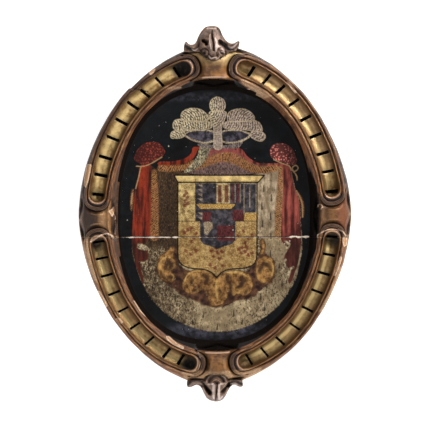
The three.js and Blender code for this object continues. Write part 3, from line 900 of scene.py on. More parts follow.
mantle_outline = [
    (-160.3, -42.2), (-159.4, -67.2), (-154.6, -90.2), (-146.9, -115.2), (-134.4, -142.1),
    (-119, -165.1), (-99.8, -185.3), (-76.8, -201.6), (-48, -215), (-19.2, -222.7), (3.8, -224.6),
    (28.8, -222.7), (57.6, -216), (82.6, -204.5), (107.5, -187.2), (128.6, -166.1), (144, -144),
    (156.5, -119), (163.2, -92.2), (167, -67.2), (167, -40.3), (165.1, -17.3), (163.8, 6.7),
    (161.3, 31.1), (155.1, 47), (150.3, 68), (142.1, 96), (121, 96), (90.2, 82.6), (48, 74.9),
    (-28.8, 74.9), (-67.2, 84.5), (-105.6, 84.5), (-124.8, 96), (-144.4, 92.2), (-146.9, 73.9),
    (-153.6, 49.5), (-156.1, 31.1), (-157.8, 6.7), (-159.2, -24),
]
red_left = [
    (-144.4, 94.1), (-146.9, 73.9), (-153.6, 49.5), (-156.1, 31.1), (-157.8, 6.7), (-159.2, -24),
    (-160.1, -48), (-158.6, -71), (-153.6, -92.2), (-146.7, -113.3), (-140.2, -130.6),
    (-137.1, -128.6), (-141.1, -109.4), (-144, -90.2), (-137.3, -90.2), (-129.6, -84.5),
    (-130.6, -67.2), (-138.2, -59.5), (-130.6, -48), (-123.6, -28.8), (-123.6, 31.1), (-123.6, 68),
    (-123.8, 96),
]
red_right = [
    (126.7, 96), (142.1, 96), (150.3, 68), (155.1, 47), (161.3, 31.1), (163.8, 6.7), (165.1, -17.3),
    (166.3, -40.3), (164.4, -67.2), (160.5, -90.2), (153.6, -111.4), (145, -131.7), (140.7, -126.7),
    (145.9, -109.4), (138.2, -97.9), (133.4, -80.6), (140.2, -65.3), (128.6, -49.9), (126.7, -28.8),
    (128.3, 6.7), (130.6, 43.4), (129.8, 71),
]
shoulder_left = [
    (-42.2, 130.6), (-46.1, 119), (-59.5, 108.9), (-82.6, 103.7), (-107.5, 102.7), (-107.5, 95),
    (-82.6, 95), (-59.5, 98.9), (-42.2, 109.4), (-33.6, 124.8), (-28.8, 130.6),
]
shoulder_right = [
    (44.2, 130.6), (53.8, 124.8), (61.4, 114.2), (74.9, 104.4), (90.2, 99.8), (124.8, 99.8),
    (124.8, 94.1), (90.2, 92.2), (67.2, 97.9), (49.9, 109.4), (32.6, 121), (26.9, 128.6),
]
knots = [
    [
        (-146.9, 129), (-135.9, 137.7), (-123.6, 140.7), (-110.2, 139.6), (-102.7, 132.9),
        (-96.8, 124.2), (-97.9, 118.1), (-104.1, 111.9), (-121.2, 103.5), (-135.9, 96),
        (-145.7, 99.6), (-155.5, 107.1), (-151.9, 120.6),
    ],
    [
        (106.2, 123.1), (109.8, 132.9), (119.6, 138.2), (131.9, 137.7), (141.7, 134),
        (150.3, 125.4), (155.1, 113.3), (157.6, 104.6), (155.1, 99.6), (145.3, 96), (134.4, 101),
        (118.5, 105.8), (108.7, 111.9),
    ],
]
pelmet = [
    (-28.8, 129.6), (1.9, 126.7), (32.6, 128.6), (48, 119), (61.4, 105.6), (82.6, 96),
    (109.4, 93.1), (109.4, 84.5), (57.6, 78.7), (3.8, 76.8), (-48, 80.6), (-51.8, 90.2),
    (-36.5, 103.7), (-28.8, 117.1),
]

picture = {}
far = 99.0
picture["ermine"] = area(mantle_outline)
picture["red"] = np.minimum(area(red_left, red_right), area(shoulder_left, shoulder_right))
picture["red"] = np.minimum(picture["red"], area(*knots))
picture["knot"] = area(*knots)
picture["pelmet"] = area(pelmet)

fringes = [
    ([(-117.1, 82.6), (-116.5, 48), (-116.2, 9.6), (-117.1, -42.2)], [10, 14, 15, 16]),
    ([(126.7, 90.2), (125.4, 48), (122.9, 9.6), (121, -40.3)], [8, 11, 13, 12]),
    ([(-105.6, 90.2), (-80.6, 89.9), (-59.5, 92.2), (-42.2, 101.8)], [12, 12, 11, 8]),
    ([
        (117.1, 90.2), (90.2, 87.2), (67.2, 92.2), (48, 103.7), (26.9, 111.4), (3.8, 109.4),
        (-19.2, 99.8), (-36.5, 90.2),
    ], [13, 14, 16, 19, 20, 18, 15, 8]),
    ([(-158.4, 48), (-160.3, 28.8), (-161.3, 9.6)], [3, 6, 2]),
    ([(157.4, 46.1), (166.3, 28.8), (169, 11.5), (169, -3.8)], [2, 5, 5, 2]),
]
picture["fringe"] = np.full(len(picture_x), far)
hatch = np.zeros(len(picture_x))
hung = 150 * np.arctan2(picture_x - 4, 235 - picture_z)
slanted = 0.8 * picture_z + np.where(picture_x > 0, 0.6, -0.6) * picture_x
for number, (points, widths) in enumerate(fringes):
    gap = band(points, widths)
    hatch = np.where(gap < picture["fringe"], hung if number in (2, 3) else slanted, hatch)
    picture["fringe"] = np.minimum(picture["fringe"], gap)
turned_fur = [(-19, 128.5), (-25.6, 112), (-37.2, 97.1), (-57, 84)]
picture["turned_fur"] = band(turned_fur, [21, 18, 13, 6])

lining = blend(0.22, 0.86, smooth(60, 95, picture_x))
crescent = smooth(-60, -112, picture_z + 0.0008 * picture_x**2)
crescent_tone = 0.6 + 0.26 * np.exp(-(((picture_x - 12) / 80) ** 2))
crescent_tone = crescent_tone + 0.1 * smooth(60, 120, picture_x)
picture_tone = blend(lining, crescent_tone, crescent)
low_left = smooth(-70, -100, picture_x) * smooth(-40, -80, picture_z)
picture_tone = blend(picture_tone, 0.62, low_left * (1 - crescent))
hand = np.random.default_rng(8)
tails = []
for reach, count, start in (0.93, 11, 0.02), (0.82, 8, 0.05):
    for i in range(count):
        around = math.radians(blend(-104, 104, (i + 0.5 + start) / count))
        spot = np.array([4 + 160 * reach * math.sin(around), -28 - 196 * reach * math.cos(around)])
        drop = hand.uniform(9, 13)
        tails.append(([spot, spot + (hand.uniform(-2, 2), -drop)], (0.7, 1.9)))
for column, top, step in (-90, 62, 40), (92, 58, 34), (108, 40, 36):
    for i in range(4):
        spot = np.array([column + hand.uniform(-2, 2), top - i * step])
        tails.append(([spot, spot + (0, -12)], (0.8, 2.1)))
picture["tails"] = np.full(len(picture_x), far)
for ends, radii in tails:
    gap, where = line_distance(picture_x, picture_z, ends)
    picture["tails"] = np.minimum(picture["tails"], gap - blend(*radii, where))

scrollwork = [
    (-81.6, -61), (-97.2, -72.9), (-107.3, -82.1), (-111.9, -96.8), (-110.5, -111.5),
    (-104.6, -124.3), (-93.6, -133.5), (-78.9, -142.7), (-66, -153.7), (-51.3, -161.1),
    (-36.6, -166.6), (-21.9, -173.9), (-7.2, -177.6), (3.8, -178.5), (16.6, -177.6), (27.7, -172.1),
    (40.5, -166.6), (58.9, -163.8), (75.4, -157.4), (88.3, -144.5), (101.2, -137.2),
    (112.2, -126.2), (117.3, -109.6), (114.9, -89.4), (106.7, -80.2), (98.4, -74.7), (98.4, -61.9),
    (92.9, -46.3), (86.5, -50.8), (84, -76), (58.9, -107.8), (3.8, -111.5), (-51.3, -106),
    (-71.5, -89.4), (-72.4, -61.9),
]
picture["scrollwork"] = area(scrollwork)
picture["scroll_gold"] = area(
    [
        (-81.6, -61), (-97.2, -72.9), (-107.3, -82.1), (-111.9, -96.8), (-110.5, -111.5),
        (-104.6, -124.3), (-92, -131), (-80, -129), (-77, -119), (-84, -110), (-76, -101),
        (-73.4, -91), (-80, -80), (-77.5, -70),
    ],
    [
        (-64.2, -139), (-61.4, -124.3), (-53.2, -111.5), (-42.1, -105.9), (-25.6, -104.1),
        (-11, -109.6), (0, -118.8), (3.8, -122), (10, -116), (16.6, -110.5), (33, -107),
        (52, -107.5), (66, -115), (73, -128), (73.6, -140), (66, -152), (54, -157), (44, -152),
        (36, -157), (28, -152), (22, -163), (15, -172), (3.8, -176), (-7, -174), (-14, -163),
        (-18, -152), (-26, -146), (-36, -152), (-48, -153), (-58, -149),
    ],
    [
        (80.8, -89.4), (91.9, -80.2), (104.8, -80.2), (114, -89.4), (115.8, -106), (112.2, -120.7),
        (101, -131.7), (88, -131), (80, -122), (78, -106),
    ],
    [(91.9, -47.2), (97.4, -61.9), (91, -77), (86, -74), (89, -61.9), (87.5, -50)],
)
scroll_shadows = [
    ([(-96, -101), (-90, -92), (-84, -97), (-88, -105), (-95, -103)], [6, 10, 9, 8, 5]),
    ([(-90, -121), (-85.5, -120)], [6, 6]), ([(-104, -112), (-99, -121), (-90, -128)], [2, 3, 2]),
    ([(-45, -121), (-45.5, -130), (-43, -136)], [4, 6, 4]),
    ([(-22, -117), (-15, -123), (-20, -132)], [6, 9, 5]), ([(-30, -139), (-40, -146)], [4, 6]),
    ([(-28, -150), (-16, -147), (-12, -156)], [5, 4, 3]),
    ([(24, -119), (23, -124), (29, -134), (30, -146), (29, -160)], [9, 8, 7, 7, 8]),
    ([(50, -122), (53, -130), (48, -138), (41, -140)], [8, 11, 9, 4]),
    ([(64, -141), (60, -149)], [3, 4]),
    ([(87, -112), (88, -102), (95, -95), (103, -98), (107, -107)], [4, 9, 10, 8, 3]),
    ([(9, -146), (10, -151)], [4, 4]),
]
picture["scroll_dark"] = np.minimum(far, bands(scroll_shadows))
scroll_lights = [
    ([(-83, -113), (-79.5, -119), (-83, -125)], [1.6, 2.6, 1.4]),
    ([(-106, -103), (-105, -90), (-96, -82), (-86, -82)], [2, 3, 2.6, 1.6]),
    ([(-59, -130), (-54, -117), (-42, -109), (-28, -108)], [2, 3, 3.4, 2]),
    ([(20, -110), (36, -110), (50, -112), (60, -118)], [2, 5, 5, 2]),
    ([(40, -148), (46, -151), (46.5, -144)], [1.4, 2, 1.2]),
    ([(109, -120), (112, -104), (108, -90), (97, -84)], [1.6, 2.6, 2.6, 1.6]),
    ([(4, -124), (2, -140), (4, -160)], [3, 5, 3]),
]
picture["scroll_light"] = np.minimum(far, bands(scroll_lights))

shield = [
    (-71.8, 63.4), (81, 63.4), (81, -72.2), (80.2, -85), (76.5, -93), (70, -98.6), (59, -102.3),
    (46, -103.2), (31.3, -104.5), (20.3, -106.9), (10.2, -112.4), (3.4, -120.6), (-4.5, -112.4),
    (-14.6, -106.9), (-25.6, -104.5), (-38.5, -103.7), (-51.3, -101.9), (-61.4, -97.7),
    (-67.9, -92.2), (-71.3, -84), (-71.8, -72.2),
]
cornice = [(-79.5, 76.8), (95.6, 76.8), (83.3, 63.2), (-71.8, 63.2)]
picture["shield"] = np.minimum(area(shield, curved=False), area(cornice, curved=False))


def field(left, right, bottom, top):
    """Distance to the edge of an upright rectangle, negative inside."""
    x, z = picture_x, picture_z
    return np.max([left - x, x - right, bottom - z, z - top], axis=0)


def spots(points, radius):
    return np.min([disc(point, radius) for point in points], axis=0)


picture["gold"] = picture["shield"] + 1.3
large_flecks = spots(
    [
        (-58.6, -33.6), (-46.1, -26.5), (-45.1, -49.9), (-36.5, -36.5), (54.7, -30.7), (71, -38.4),
        (57.6, -53.8), (-55.7, -69.1), (-47, -75.8), (-36.5, -69.1), (-7.7, -69.1), (1.9, -64.3),
        (13.4, -71), (-2.9, -79.7), (8.6, -84.5), (-9.6, -96), (0, -101.8), (15.4, -97.9),
        (71, -73), (44.2, -40.3),
    ],
    3.4,
)
small_flecks = spots(
    [
        (-55.7, 43.2), (-59, 37), (-53, 34.6), (-57, 28), (-53, 22), (-58, 17.3), (46, -66),
        (52, -63), (58, -70), (50, -74), (60, -62), (64, -77), (-52, -29), (-40, -45), (63, -44),
        (4, -73),
    ],
    3.6,
)
picture["flecks"] = np.minimum(large_flecks, small_flecks)
picture["dark"] = np.min(
    [
        field(-38, -22.4, -12, 61.5), field(-24, 3, 22, 61.5), field(29, 81, 4.5, 61.5),
        field(-38, 56, -12, 22),
        area(
            [
                (-28.8, 11.5), (39.4, 11.5), (39.4, -48), (32.6, -56.3), (19.2, -59.9),
                (4.6, -65.7), (-9.6, -59.9), (-23, -56.3), (-28.8, -48),
            ],
            curved=False,
        ),
    ],
    axis=0,
)
picture["maroon"] = np.min(
    [
        field(5.5, 12.5, 24, 58), field(18, 25.5, 24, 58), field(33, 36.5, 24, 60),
        field(42, 46.5, 24, 60), field(34, 54, -11, 10), field(4, 36, -50, -20),
        field(-24, -8, -12, 6),
    ],
    axis=0,
)
picture["cream"] = np.min([
    np.abs(field(3.6, 27.2, 23, 60.4)) - 0.9, field(14.2, 16.6, 23, 60), field(38, 39.6, 24, 60),
    field(48, 49.4, 24, 60), np.abs(field(56, 79.5, 2, 60.4)) - 0.9, field(66, 68, 14, 54),
    area([
        (-22.1, -15.4), (-13.4, -12.7), (-5.8, -15.4), (-5, -25), (-9.6, -30.7), (-15.4, -38),
        (-21.1, -34.6), (-20.4, -25),
    ]),
], axis=0)
for i in range(8):
    top = 59 - 9 * i
    if abs(top - 18) > 4:
        slope = (top - 6 - picture_z) + (-24.5 - picture_x) * 0.62
        notch = np.maximum(field(-34.5, -24.5, top - 6, top), slope)
        picture["cream"] = np.minimum(picture["cream"], notch)
small_bar = area([(-37.2, 21.5), (40.3, 21.5), (31.7, 11.5), (-27.8, 11.5)], curved=False)
picture["small_gold"] = np.minimum(small_bar, field(56, 80.3, -11, 3.6))
beside_the_middle = np.maximum(field(-71, 80.3, -14, -9), -field(-37, 38, -60, 0))
picture["ink"] = np.min([
    np.abs(picture["shield"]) - 0.9, np.abs(picture["small_gold"]) - 0.5,
    np.maximum(np.abs(picture_z + 11.9) - 0.8, beside_the_middle),
    np.maximum(np.abs(picture_z - 62.8) - 0.9, np.abs(picture_x - 5) - 78),
    np.maximum(np.abs(field(-38, 38, -12, 70)) - 0.6, np.abs(picture_x + 38) - 3),
], axis=0)
curls = [
    ([(-145, -60), (-134, -64)], [11, 9]), ([(-143, -92), (-137, -92)], [2, 3]),
    ([(136, -50), (141, -56), (139, -64)], [3, 8, 5]),
    ([(150, -101), (145, -105), (141, -114), (136, -124)], [4, 5, 4, 2]),
    ([(136, -86), (133, -100), (127, -110)], [3, 4, 2]),
]
picture["fur_curls"] = bands(curls)
picture["white_specks"] = 0.5 + spots([
    (-89.3, 132.9), (-169, -9.6), (34.6, -28.8), (134.4, -55.7), (144, -49.9),
], 1.6)

cords = [
    [(-102.7, 111.9), (-119, 101.8), (-135.9, 94.5), (-151.7, 94.1)],
    [(-142.8, 92.4), (-147.8, 71), (-153, 50.7)],
    [
        (113.5, 107.1), (128.6, 99.8), (142.8, 94.8), (147.8, 86.4), (154.6, 84.5), (160.3, 90.2),
        (155.5, 96), (148.8, 89.3), (157.1, 75.8), (158.4, 67.2),
    ],
    [(-159.4, 42.2), (-161.7, 21.1)], [(156.5, 47), (167.4, 25), (168.6, -3.8)],
]
picture["cords"] = bands([(points, [2.2]) for points in cords])

plumes = [
    ([
        (-66.2, 188.2), (-63.4, 198.7), (-51.8, 205.4), (-36.5, 206.2), (-23, 201.6),
        (-13.4, 192), (-12.5, 183.4), (-28.8, 180.5), (-48, 181.4), (-60.5, 180.5),
    ], 0.95, 0.6),
    ([
        (23, 188.2), (26.9, 198.7), (40.3, 204.5), (55.7, 204.9), (69.1, 198.7), (76.8, 188.2),
        (71, 180.5), (48, 180.5), (26.9, 179.5),
    ], -0.95, 0.6),
    ([
        (-81.6, 174.7), (-76.8, 183.4), (-65.3, 184.9), (-48, 180.5), (-28.8, 180.5),
        (-11.5, 180.5), (-5.8, 169), (-23, 164.2), (-44.2, 163.2), (-59.5, 161.3),
        (-71, 161.3), (-79.7, 166.1),
    ], 1, 0.15),
    ([
        (21.1, 180.5), (48, 179.9), (71, 183), (84.5, 179.5), (91.2, 169), (90.2, 160.3),
        (78.7, 160.3), (61.4, 163.6), (40.3, 165.5), (17.3, 168),
    ], 1, -0.2),
    ([
        (-86, 153.6), (-82.6, 161.3), (-71, 163.2), (-59.5, 160.3), (-57.6, 153.6),
        (-65.3, 148.4), (-76.8, 147.5), (-84.5, 148.2),
    ], 0.8, 0.8),
    ([
        (71, 161.3), (82.6, 162.2), (94.1, 158.4), (97.9, 149.8), (90.2, 142.1), (78.7, 144.4),
        (68.2, 151.7),
    ], 0.8, -0.8),
    ([
        (-10.8, 212.4), (-6.5, 223.1), (4.8, 228.1), (16.1, 223.1), (20.4, 212.4),
        (17.3, 202.6), (4.8, 197.8), (-7.7, 202.6),
    ], 1, 0),
    ([
        (-11.5, 197.8), (-1.9, 201.6), (13.4, 201.6), (22.1, 197.8), (19.2, 184.3),
        (13.1, 167), (13.4, 129.6), (-1.9, 129.6), (-3.1, 167), (-9.6, 184.3),
    ], 0.7, -0.9),
]
picture["plumes"] = picture["plume_edge"] = np.full(len(picture_x), far)
for points, across, upward in plumes:
    gap = area(points)
    size = math.hypot(across, upward)
    middle = np.mean(points, axis=0)
    x, z = picture_x - middle[0], picture_z - middle[1]
    comb = (across * x + upward * z) / size + 0.02 * ((upward * x - across * z) / size) ** 2
    hatch = np.where(gap < np.minimum(picture["plumes"], 0.5), comb, hatch)
    picture["plumes"] = np.minimum(picture["plumes"], gap)
    picture["plume_edge"] = np.minimum(picture["plume_edge"], np.abs(gap + 0.6) - 0.8)
picture["cap"] = area(
    [
        (-60.3, 155.5), (-46.1, 163.6), (-25, 165.3), (-3.8, 163.2), (2.7, 152.6), (-2.7, 140.9),
        (-21.1, 137.9), (-40.3, 142.1), (-53, 148),
    ],
    [
        (8.4, 157.4), (19.2, 164.4), (40.3, 165.7), (57.6, 162.4), (70.3, 154.8), (59.1, 144.4),
        (40.3, 138.6), (20.4, 138.2), (10, 144.8),
    ],
)
picture["skirt"] = area(
    [
        (-32.6, 137.9), (-3.8, 135.2), (17.3, 134.8), (44.2, 138.6), (53.8, 141.7), (44.2, 129.4),
        (17.3, 128.3), (-5.8, 128.6), (-28.8, 131.7),
    ]
)
picture["openings"] = area(
    [
        (-56.4, 156.3), (-44.2, 160.9), (-25, 162.4), (-5.8, 159.7), (-1.3, 152.6), (-5.8, 144.4),
        (-21.1, 141.1), (-38.4, 145.2), (-50.9, 150.9),
    ],
    [
        (12.3, 157.4), (21.1, 161.3), (40.3, 162.6), (55.7, 159.4), (65.3, 154.4), (56.6, 147.8),
        (40.3, 142.1), (21.1, 141.5), (13.1, 146.3),
    ],
)
# Painted sheen: pale reflections on the dark ground below the mantle's fur, and a fainter band near
# the top.
painted_sheen = smooth(-205, -216, picture_z) * smooth(-246, -222, picture_z)
painted_sheen = painted_sheen * smooth(115, 60, np.abs(picture_x - 8))
painted_sheen = painted_sheen + 0.35 * smooth(215, 225, picture_z) * smooth(240, 232, picture_z)
picture["joint"] = picture_z - joint_height
keep_in_picture("painted_sheen", painted_sheen, 0)
keep_in_picture("hatch", hatch, 0)
keep_in_picture("tone", picture_tone, 0)
for name, distance in picture.items():
    keep_in_picture(name, distance, far)


# Damage and wear
# Chips down to gesso and wood along the rim and the rails, hairline cracks, a split in the
# upper left rim where the lower part has sprung outwards, and broken gesso along the joint.

bare_patches = [
    [
        (-126.7, 277.4), (-121, 281.3), (-113.7, 279.4), (-116.2, 272.6), (-121.9, 266.9),
        (-125.2, 268.8),
    ],
    [
        (-243.8, 97), (-234.2, 96), (-236.2, 82.6), (-241, 65.3), (-245.8, 51.8), (-250.4, 55.7),
        (-249.2, 74.9),
    ],
    [(136.3, 255.4), (142.1, 254.4), (151.7, 242.9), (157.4, 234.2), (153.6, 232.3), (144, 243.8)],
    [(243.8, -42.2), (253.4, -44.2), (253.4, -57.6), (246.7, -61.4), (242.9, -49.9)],
    [
        (239, -78.7), (243.8, -80.6), (237.1, -101.8), (230.4, -117.1), (225.6, -115.2),
        (232.3, -97.9),
    ],
    [
        (53.8, -313.9), (78.7, -304.3), (101.8, -290.9), (122.9, -278.4), (125.8, -283.2),
        (105.6, -296.6), (80.6, -310.1), (55.7, -319.7),
    ],
    [
        (-225.6, -144), (-218.9, -145.9), (-208.3, -165.1), (-204.5, -174.7), (-211.2, -176.6),
        (-219.8, -163.2),
    ],
    [(-190.1, -197.8), (-182.4, -196.8), (-175.7, -205.4), (-180.5, -209.3)],
    [
        (-156.5, -164.2), (-150.7, -164.2), (-140.2, -177.6), (-130.6, -190.1), (-133.4, -194.9),
        (-144, -184.3),
    ],
    [
        (-94.1, -231.4), (-87.4, -232.3), (-73, -244.8), (-58.6, -252.5), (-60.5, -257.3),
        (-78.7, -248.6), (-91.2, -239),
    ],
    [
        (-204.5, 7.5), (-198.1, 12.1), (-194.3, 17.1), (-193, 10.2), (-193.9, 1.2), (-197.6, -4),
        (-199.9, 1.2),
    ],
    [(190.1, -44.2), (194.9, -44.2), (193.9, -51.8), (190.1, -51.8)],
]
bare_lines = [
    ([(-13.4, 247.1), (1.9, 248.1), (25, 246.9)], 1.5),
    ([(46.1, 243.1), (57.6, 241.3), (67.2, 240.8)], 1.5),
    ([(-237.5, -51.3), (-222.9, -41.6), (-208.1, -35.4), (-199, -38.4), (-194.6, -43)], 3),
    ([(-191.8, 0), (-191.4, -18), (-191.8, -38)], 1.1),
    ([(191, 1.9), (193, -5.8), (195.8, -13.4)], 1.4),
    ([(193.9, -40.3), (208, -31), (221.9, -27), (242, -30.4), (250.6, -39.5)], 2.6),
    ([(206, 15.8), (200.9, 20.8), (195.8, 15.8), (200.9, 10.8), (206, 15.8)], 1.9),
    ([(-33.6, -259.2), (-28.8, -270.7), (-28.8, -286.1), (-32.6, -295.7)], 1.6),
]

on_ring = (share > -0.12) & (-carved[:, 1] > 6)
ring_x, ring_z = plan[on_ring, 0], plan[on_ring, 1]


def from_patches(patches):
    """Distance to the edge of drawn patches on the ring, negative inside."""
    gap = np.full(len(plan), far)
    for patch in patches:
        nearest = shape_distance(ring_x, ring_z, np.array(patch, float))
        gap[on_ring] = np.minimum(gap[on_ring], nearest)
    return gap


bare = from_patches(bare_patches)
for points, width in bare_lines:
    gap, _ = line_distance(ring_x, ring_z, rounded_line(points, False, 4))
    bare[on_ring] = np.minimum(bare[on_ring], gap - width / 2)
x, z = plan[:, 0], plan[:, 1]
joint_widths = np.interp(
    x, [-262, -186, -170, -164, -74, -66, 140, 146, 168, 192, 200, 262],
    [0.2, 0.25, 0.1, 0.85, 1.0, 0.3, 0.25, 1.2, 1.5, 1.2, 0.2, 0.2],
)
joint_widths = joint_widths * (1 + 0.6 * hand_noise(x, 0 * x, 7, 41))
rise = 1.4 * smooth(138, 150, x) * smooth(198, 186, x) * (1 + hand_noise(x, 0 * x, 5, 42))
from_joint = np.abs(z - joint_height - rise) - joint_widths
bare = np.where(front, np.minimum(bare, from_joint), bare)

split_start = math.atan2(-162, 242)
sprung = smooth(split_start + 0.004, split_start - 0.004, angle) * smooth(-1.5, -1.05, angle)
sprung = sprung * smooth(0.45, 0.8, share)
carved[:, [0, 2]] += plan * (2.4 * sprung / np.maximum(np.hypot(x, z), 1))[:, None]
split, _ = line_distance(x, z, [(-168, 243), (-150, 240.5), (-139, 239.5), (-128, 236)])
carved[:, 1] += 0.6 * smooth(0.8, -0.9, bare) * front + 2.2 * np.exp(-((split / 1.3) ** 2)) * front
bare = np.where(split < 0.9, far, bare)


def drawn_together(values, ends):
    """The mean of each point's neighbours along the edges."""
    size, (one, other) = len(values), ends.T
    total = np.bincount(one, values[other], size) + np.bincount(other, values[one], size)
    return total / np.maximum(np.bincount(ends.ravel(), minlength=size), 1)


# Patches where the rails turn sandy: partly rubbed wear, partly painted highlights where the rails
# meet the light.
rubbed_and_lit_patches = [
    [
        (48.8, 258.9), (58.7, 259.8), (81.9, 244.1), (106.7, 227.5), (98.4, 222.6), (80.2, 227.5),
        (73.6, 239.1), (53.8, 250.7),
    ],
    [(-104, 250), (-99, 248.5), (-86, 245), (-66, 245.5), (-64, 243.5), (-84, 239), (-98, 243.5)],
    [
        (-257, -45), (-240, -45), (-238, -60), (-236, -80), (-230, -100), (-222, -120),
        (-226, -130), (-234, -118), (-243, -98), (-250, -72),
    ],
    [
        (-66, -300), (-40, -296), (-13, -298), (10, -299), (35, -297), (60, -294), (88, -292),
        (88, -306), (56, -318), (30, -314), (-30, -314), (-56, -317),
    ],
    [
        (238, -100), (246, -100), (236, -130), (222, -160), (204, -186), (196, -184), (214, -156),
        (228, -128),
    ],
]
keep("rubbed", from_patches(rubbed_and_lit_patches))
keep("beside", bridge_side(plan))

# Painted shadow in the mouths of the channels: near-black in the ends that lie away from the light.
soot_and_shadow = np.zeros(len(plan))
mouth_shadow_amounts = (0, 0), (0.85, 0.2), (1, 0.85), (0.15, 1)
mouth_shadow_reaches = (12, 12), (19, 16), (24, 18), (16, 36)
for line, amounts, reaches in zip(lines, mouth_shadow_amounts, mouth_shadow_reaches):
    for along, amount, reach, ahead in zip((0, line["length"]), amounts, reaches, (-4, 4)):
        angle_here = angle_along(line, along)
        way_on = line_direction(angle_here)
        middle = ring_point(angle_here, channel_place) + way_on * ahead + outwards(way_on) * 6
        gap = np.hypot(x - middle[0], z - middle[1])
        soot_and_shadow = np.maximum(soot_and_shadow, amount * smooth(reach, 0.4 * reach, gap))
keep("soot_and_shadow", soot_and_shadow)

# Painted highlights on the high points of the leaves, partly rubbed silver, and painted shade in
# their hollows, each drawn as strokes.
leaf_lights = [
    ([(0.5, 336), (3.6, 326.7), (2.8, 312)], [2, 4.5, 3.5]),
    ([(4, 322), (11, 318.5), (17, 313)], [4, 4, 2.5]),
    ([(-9.7, 343), (-9.7, 326.7), (-7.4, 315.7)], [1.2, 1.8, 2.2]),
    ([(-11.3, 303), (-7.4, 297.7), (0.5, 300), (3.6, 297), (9, 301.6)], [1.6, 1.8, 1.8, 1.8, 1.6]),
    ([(-15.2, 356.4), (2, 356.4)], [1.8, 1.8]),
    ([(9.1, 307.9), (13.8, 311), (18.5, 309.4)], [1.4, 1.8, 1.4]),
    ([(25.6, 322), (31, 318.8), (37.3, 322), (42.8, 328.2)], [1.8, 3, 2.4, 1.2]),
    ([(-44.2, 317.3), (-38.7, 314.1), (-32.4, 318)], [1.4, 2, 1.4]),
    ([(-2.3, -324.2), (-3.3, -337), (-2.3, -349)], [4, 4.2, 3]),
    ([(8.4, -323), (7.4, -337), (8.4, -351)], [3.4, 3.4, 3.6]),
    ([(-13.5, -322.4), (-4.4, -321.4)], [2.2, 3]), ([(10, -321.4), (20.2, -320.2)], [3, 2.2]),
    ([(-36, -325), (-29, -328), (-24, -336), (-19, -346)], [1.8, 1.8, 1.4, 1.6]),
    ([(34, -325.6), (42, -324.4)], [1.8, 2]), ([(14, -346), (10, -352)], [2.4, 2]),
]
leaf_darks = [
    ([(9.1, 331.4), (16.9, 325.1), (24.8, 318.1), (34.2, 315.7)], [4.6, 6, 5.4, 4]),
    ([(-25, 333.5), (-17.6, 328.2), (-16, 324)], [3, 4.6, 3.4]),
    ([(-57, 323), (-47.3, 317.3), (-39.5, 312.6)], [4.4, 4.4, 3.4]),
    ([(-25.4, 311), (-23.8, 304.7), (-14.4, 302.4)], [2.2, 2.2, 2]),
    ([(-5, 351.8), (-6.4, 339.2), (-3.6, 326.7), (-3.1, 312.6)], [1.1, 1.4, 2.4, 3]),
    ([(15, 307.4), (16, 306)], [2, 2]),
    (
        [(-26, 305.5), (-14.4, 300), (-6.6, 294.5), (3.6, 292.2), (13, 297)],
        [1.8, 1.8, 1.8, 1.8, 1.6],
    ),
    ([(3.6, 356.4), (9.1, 350.2), (12, 343)], [2.2, 2.2, 1.4]),
    ([(41, 333), (46, 330), (46, 322)], [1.6, 2.2, 1.6]),
    (
        [(-20, -315), (-12.9, -306), (3.1, -302.3), (19.1, -306.6), (26.5, -315)],
        [4.4, 4.6, 4.8, 4.6, 4.2],
    ),
    (
        [(-52.5, -325), (-45.4, -318), (-34.8, -315.8), (-24.1, -319.9), (-19.8, -326.3)],
        [4.4, 4, 3.8, 3.6, 3.4],
    ),
    ([(25.5, -324.2), (31.9, -318.8), (40.4, -318), (51.1, -323)], [3.4, 3.6, 3.8, 4.6]),
    ([(-20, -325), (-16, -332), (-9.8, -337.5)], [3.4, 3.8, 4]),
    ([(24, -323), (19.6, -332), (14.6, -337)], [3.4, 3.8, 4]),
    ([(4.2, -321), (3.2, -334), (1.4, -356)], [1.8, 1.5, 1.3]),
]
ornament = np.abs(z) > 285
ornament_x, ornament_z = plan[ornament, 0], plan[ornament, 1]
for name, strokes in (("rubbed_and_lit_silver", leaf_lights), ("shaded_hollows", leaf_darks)):
    values = np.zeros(len(plan))
    values[ornament] = np.max([stroke(ornament_x, ornament_z, *one) for one in strokes], axis=0)
    keep(name, values)

keep("share", share)
ring_width = outline_radius(angle) - opening_radius(angle)
keep("lateral", (share - channel_place) * ring_width * -np.sign(x))
keep("along", np.abs(angle) * mean_radius)
keep("bare", bare)
keep("split", split)
for board, mine in ((upper, slice(0, first_lower)), (lower, slice(first_lower, None))):
    points = carved[mine]
    place(board, points * MM)
    ends = read(board.data.edges, "vertices", 2, np.int32)
    facing = read(board.data.vertex_normals, "vector", 3)
    near = np.stack([drawn_together(points[:, i], ends) for i in range(3)], axis=-1)
    note(board, "worn_edge", 4 * drawn_together(((points - near) * facing).sum(axis=1), ends))
    wide = points[:, 1]
    for _ in range(14):
        wide = drawn_together(wide, ends)
    note(board, "hollow", points[:, 1] - wide)


# Finish
# Gesso under oil-gilt channels, brown-glazed mouldings and silvery brown leaves; an oil
# painting on the ground; bare planed pine on the back, and black dirt in the gouge cuts.

BAND_REACH = 40.0


def tint(red, green, blue):
    """A colour as it is seen, turned into amounts of light."""
    seen = red / 255, green / 255, blue / 255
    return (*[c / 12.92 if c < 0.04045 else ((c + 0.055) / 1.055) ** 2.4 for c in seen], 1.0)


def fed(made, inputs):
    """Links or sets inputs of a node. Like all helpers here, it works in the current tree."""
    for key, value in inputs.items():
        if isinstance(value, bpy.types.NodeSocket):
            tree.links.new(value, made.inputs[key])
        else:
            made.inputs[key].default_value = value
    return made


def node(kind, inputs, **settings):
    made = tree.nodes.new("ShaderNode" + kind)
    for key, value in settings.items():
        setattr(made, key, value)
    return fed(made, inputs)


